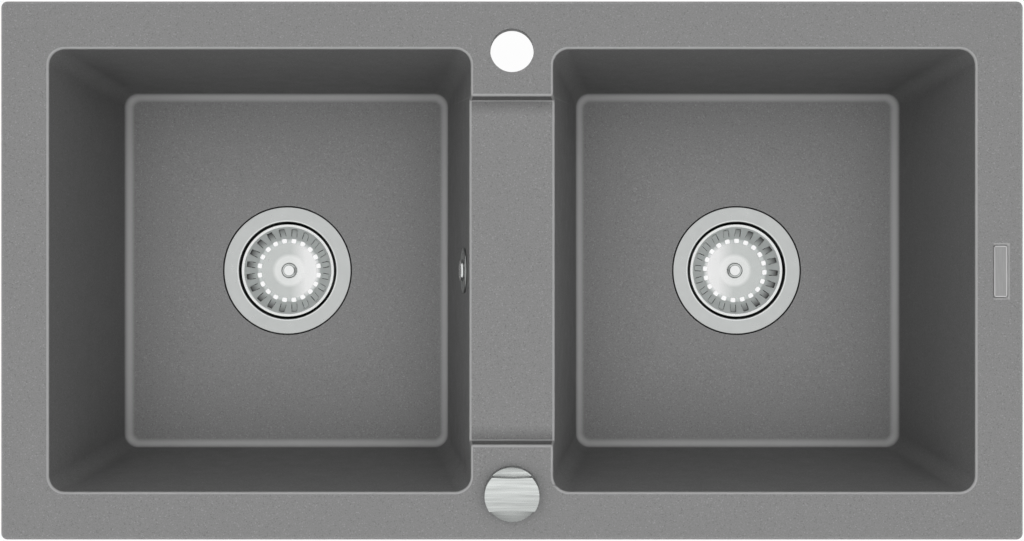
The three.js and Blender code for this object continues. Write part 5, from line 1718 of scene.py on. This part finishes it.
outward = Vector((math.cos(lift_turn), math.sin(lift_turn), 0))
port_face = Vector((-BOWL_CENTRE, 0, FLOOR_LEVEL - PORT_DEPTH)) + outward * PORT_END
knob_face = Vector(knob_mouth)
route = [
    port_face + outward * CABLE_SEAT, port_face + outward * (CABLE_SEAT + CABLE_LEAD),
    *[Vector(point) for point in CABLE_ROUTE],
    knob_face + Vector((0, CABLE_SEAT + CABLE_LEAD, 0)), knob_face + Vector((0, CABLE_SEAT, 0)),
]


def smooth_route(points, steps):
    """Points along a centripetal Catmull-Rom curve through the given ones."""
    points = [points[0] * 2 - points[1], *points, points[-1] * 2 - points[-2]]
    smooth = []
    for a, b, c, d in zip(points, points[1:], points[2:], points[3:]):
        ta = 0.0
        tb = ta + math.sqrt((b - a).length)
        tc = tb + math.sqrt((c - b).length)
        td = tc + math.sqrt((d - c).length)
        for i in range(steps):
            t = tb + (tc - tb) * i / steps
            ab = a * ((tb - t) / (tb - ta)) + b * ((t - ta) / (tb - ta))
            bc = b * ((tc - t) / (tc - tb)) + c * ((t - tb) / (tc - tb))
            cd = c * ((td - t) / (td - tc)) + d * ((t - tc) / (td - tc))
            abc = ab * ((tc - t) / (tc - ta)) + bc * ((t - ta) / (tc - ta))
            bcd = bc * ((td - t) / (td - tb)) + cd * ((t - tb) / (td - tb))
            smooth.append(abc * ((tc - t) / (tc - tb)) + bcd * ((t - tb) / (tc - tb)))
    return [*smooth, points[-2]]


cable = poly_curve("lift_cable_sheath", smooth_route(route, CABLE_STEPS))
cable.data.bevel_depth = CABLE_RADIUS
cable.data.bevel_resolution = 5
cable.data.use_fill_caps = True
choose(cable)
bpy.ops.object.convert(target="MESH")
cable = bpy.context.object
bpy.ops.object.mode_set(mode="EDIT")
weld()
sheath = cloudy_finish("black_sheath", 0.016, 0.03, 0.38, 1800.0, 0.00006, IOR=1.47)
fit(cable, sheath, "cable_sheath", "lift_cable", smooth_to=50)

# --- Worktop clips --------------------------------------------------------------------------
# Six clips pull the rim down. Each is a zinc-plated steel arm with a toothed end that bites the
# worktop's underside, on a long screw into a boss moulded under the rim. The arm can swing in.

ARM_HALF = 0.006
ARM_INNER = -0.007
ARM_OUTER = 0.019
ARM_SHEET = 0.0025
ARM_SEAT = -0.046
TOOTH_HEIGHT = 0.008
ARM_HOLE = 0.0028
ARM_FOOT_ROUND = 0.002
ARM_END_ROUND = 0.003
CLIP_SCREW_RADIUS = 0.0025
CLIP_SCREW_TOP = -0.0033
CLIP_HEAD = 0.0045
CLIP_HEAD_HEIGHT = 0.004
CLIP_THREAD = 0.0016
TOOTH_NOTCH = 0.0008
NOTCH_SPACING = 0.003
SWAGE_HALF = 0.0012
CROSS_HALF = (0.0028, 0.0005)
clip_turns = {
    "front_left": -90,
    "front_right": -90,
    "back_left": 90,
    "back_right": 90,
    "left": 180,
    "right": 0,
}

arm_top = ARM_SEAT + ARM_SHEET
arm = box_piece(
    "clip_arm", (ARM_INNER, -ARM_HALF, ARM_SEAT), (ARM_OUTER, ARM_HALF, arm_top),
)
tooth = box_piece(
    "tooth", (ARM_OUTER - ARM_SHEET, -ARM_HALF, ARM_SEAT),
    (ARM_OUTER, ARM_HALF, ARM_SEAT + TOOTH_HEIGHT),
)
join(arm, tooth)
tip = ARM_SEAT + TOOTH_HEIGHT


def outer_foot(points):
    """The arm's edge under its tooth."""
    return all(p.x > ARM_OUTER - NEAR and p.z < ARM_SEAT + NEAR for p in points)


def inner_corner(points):
    """The upright edges of the arm's inner end."""
    return all(p.x < ARM_INNER + NEAR for p in points) and taller(NEAR)(points)


bevel(arm, outer_foot, ARM_FOOT_ROUND, 6)
bevel(arm, inner_corner, ARM_END_ROUND, 6)
for y in (-NOTCH_SPACING, 0.0, NOTCH_SPACING):
    notch = box_piece("notch", (-0.004, -TOOTH_NOTCH, -TOOTH_NOTCH), (0.004, TOOTH_NOTCH, TOOTH_NOTCH))
    moved(notch, (math.pi / 4, 0, 0), (ARM_OUTER - ARM_SHEET / 2, y, tip))
    cut(arm, notch)
swage = box_piece(
    "swage", (0.0045, -SWAGE_HALF, arm_top - 0.0005),
    (ARM_OUTER - ARM_SHEET + 0.0005, SWAGE_HALF, arm_top + 0.0007),
)
join(arm, swage)
arm_hole = round_piece("hole", ARM_HOLE, ARM_SEAT - 0.001, ARM_SEAT + 0.004, sides=32)
cut(arm, arm_hole)
soften(arm, 0.0003)

head_seat = ARM_SEAT - 0.0003
head_tip = head_seat - CLIP_HEAD_HEIGHT
thread = threaded(CLIP_SCREW_RADIUS, CLIP_SCREW_TOP - 0.001, head_seat + 0.002, CLIP_THREAD, 0.0005)
clip_screw = spun(
    "clip_screw",
    [
        (0, head_tip), (CLIP_HEAD - 0.0018, head_tip), (CLIP_HEAD - 0.0006, head_tip + 0.0006),
        (CLIP_HEAD, head_tip + 0.0018), (CLIP_HEAD, head_seat),
        *reversed(thread), (0, CLIP_SCREW_TOP),
    ],
    steps=28,
)
for turn in (0, 90):
    cross = box_piece(
        "cross", (-CROSS_HALF[0], -CROSS_HALF[1], head_tip - 0.001),
        (*CROSS_HALF, head_tip + 0.0018),
    )
    cut(clip_screw, turned_about(cross, (0, 0, 0), turn))


def copied(piece, name, place, degrees):
    """A copy with its own mesh, turned about the upright axis and moved to its place."""
    copy = piece.copy()
    copy.data = piece.data.copy()
    copy.name = name
    scene.collection.objects.link(copy)
    return moved(copy, (0, 0, math.radians(degrees)), (place[0], place[1], 0))


for name, place in clip_places.items():
    arm_copy = copied(arm, "arm_" + name, place, clip_turns[name])
    fit(arm_copy, zinc, "clip_steel", "clip_arm_" + name, body="clip_" + name)
    screw_copy = copied(clip_screw, "screw_" + name, place, clip_turns[name])
    fit(screw_copy, zinc, "clip_steel", "clip_screw_" + name)
for original in (arm, clip_screw):
    bpy.data.objects.remove(original)
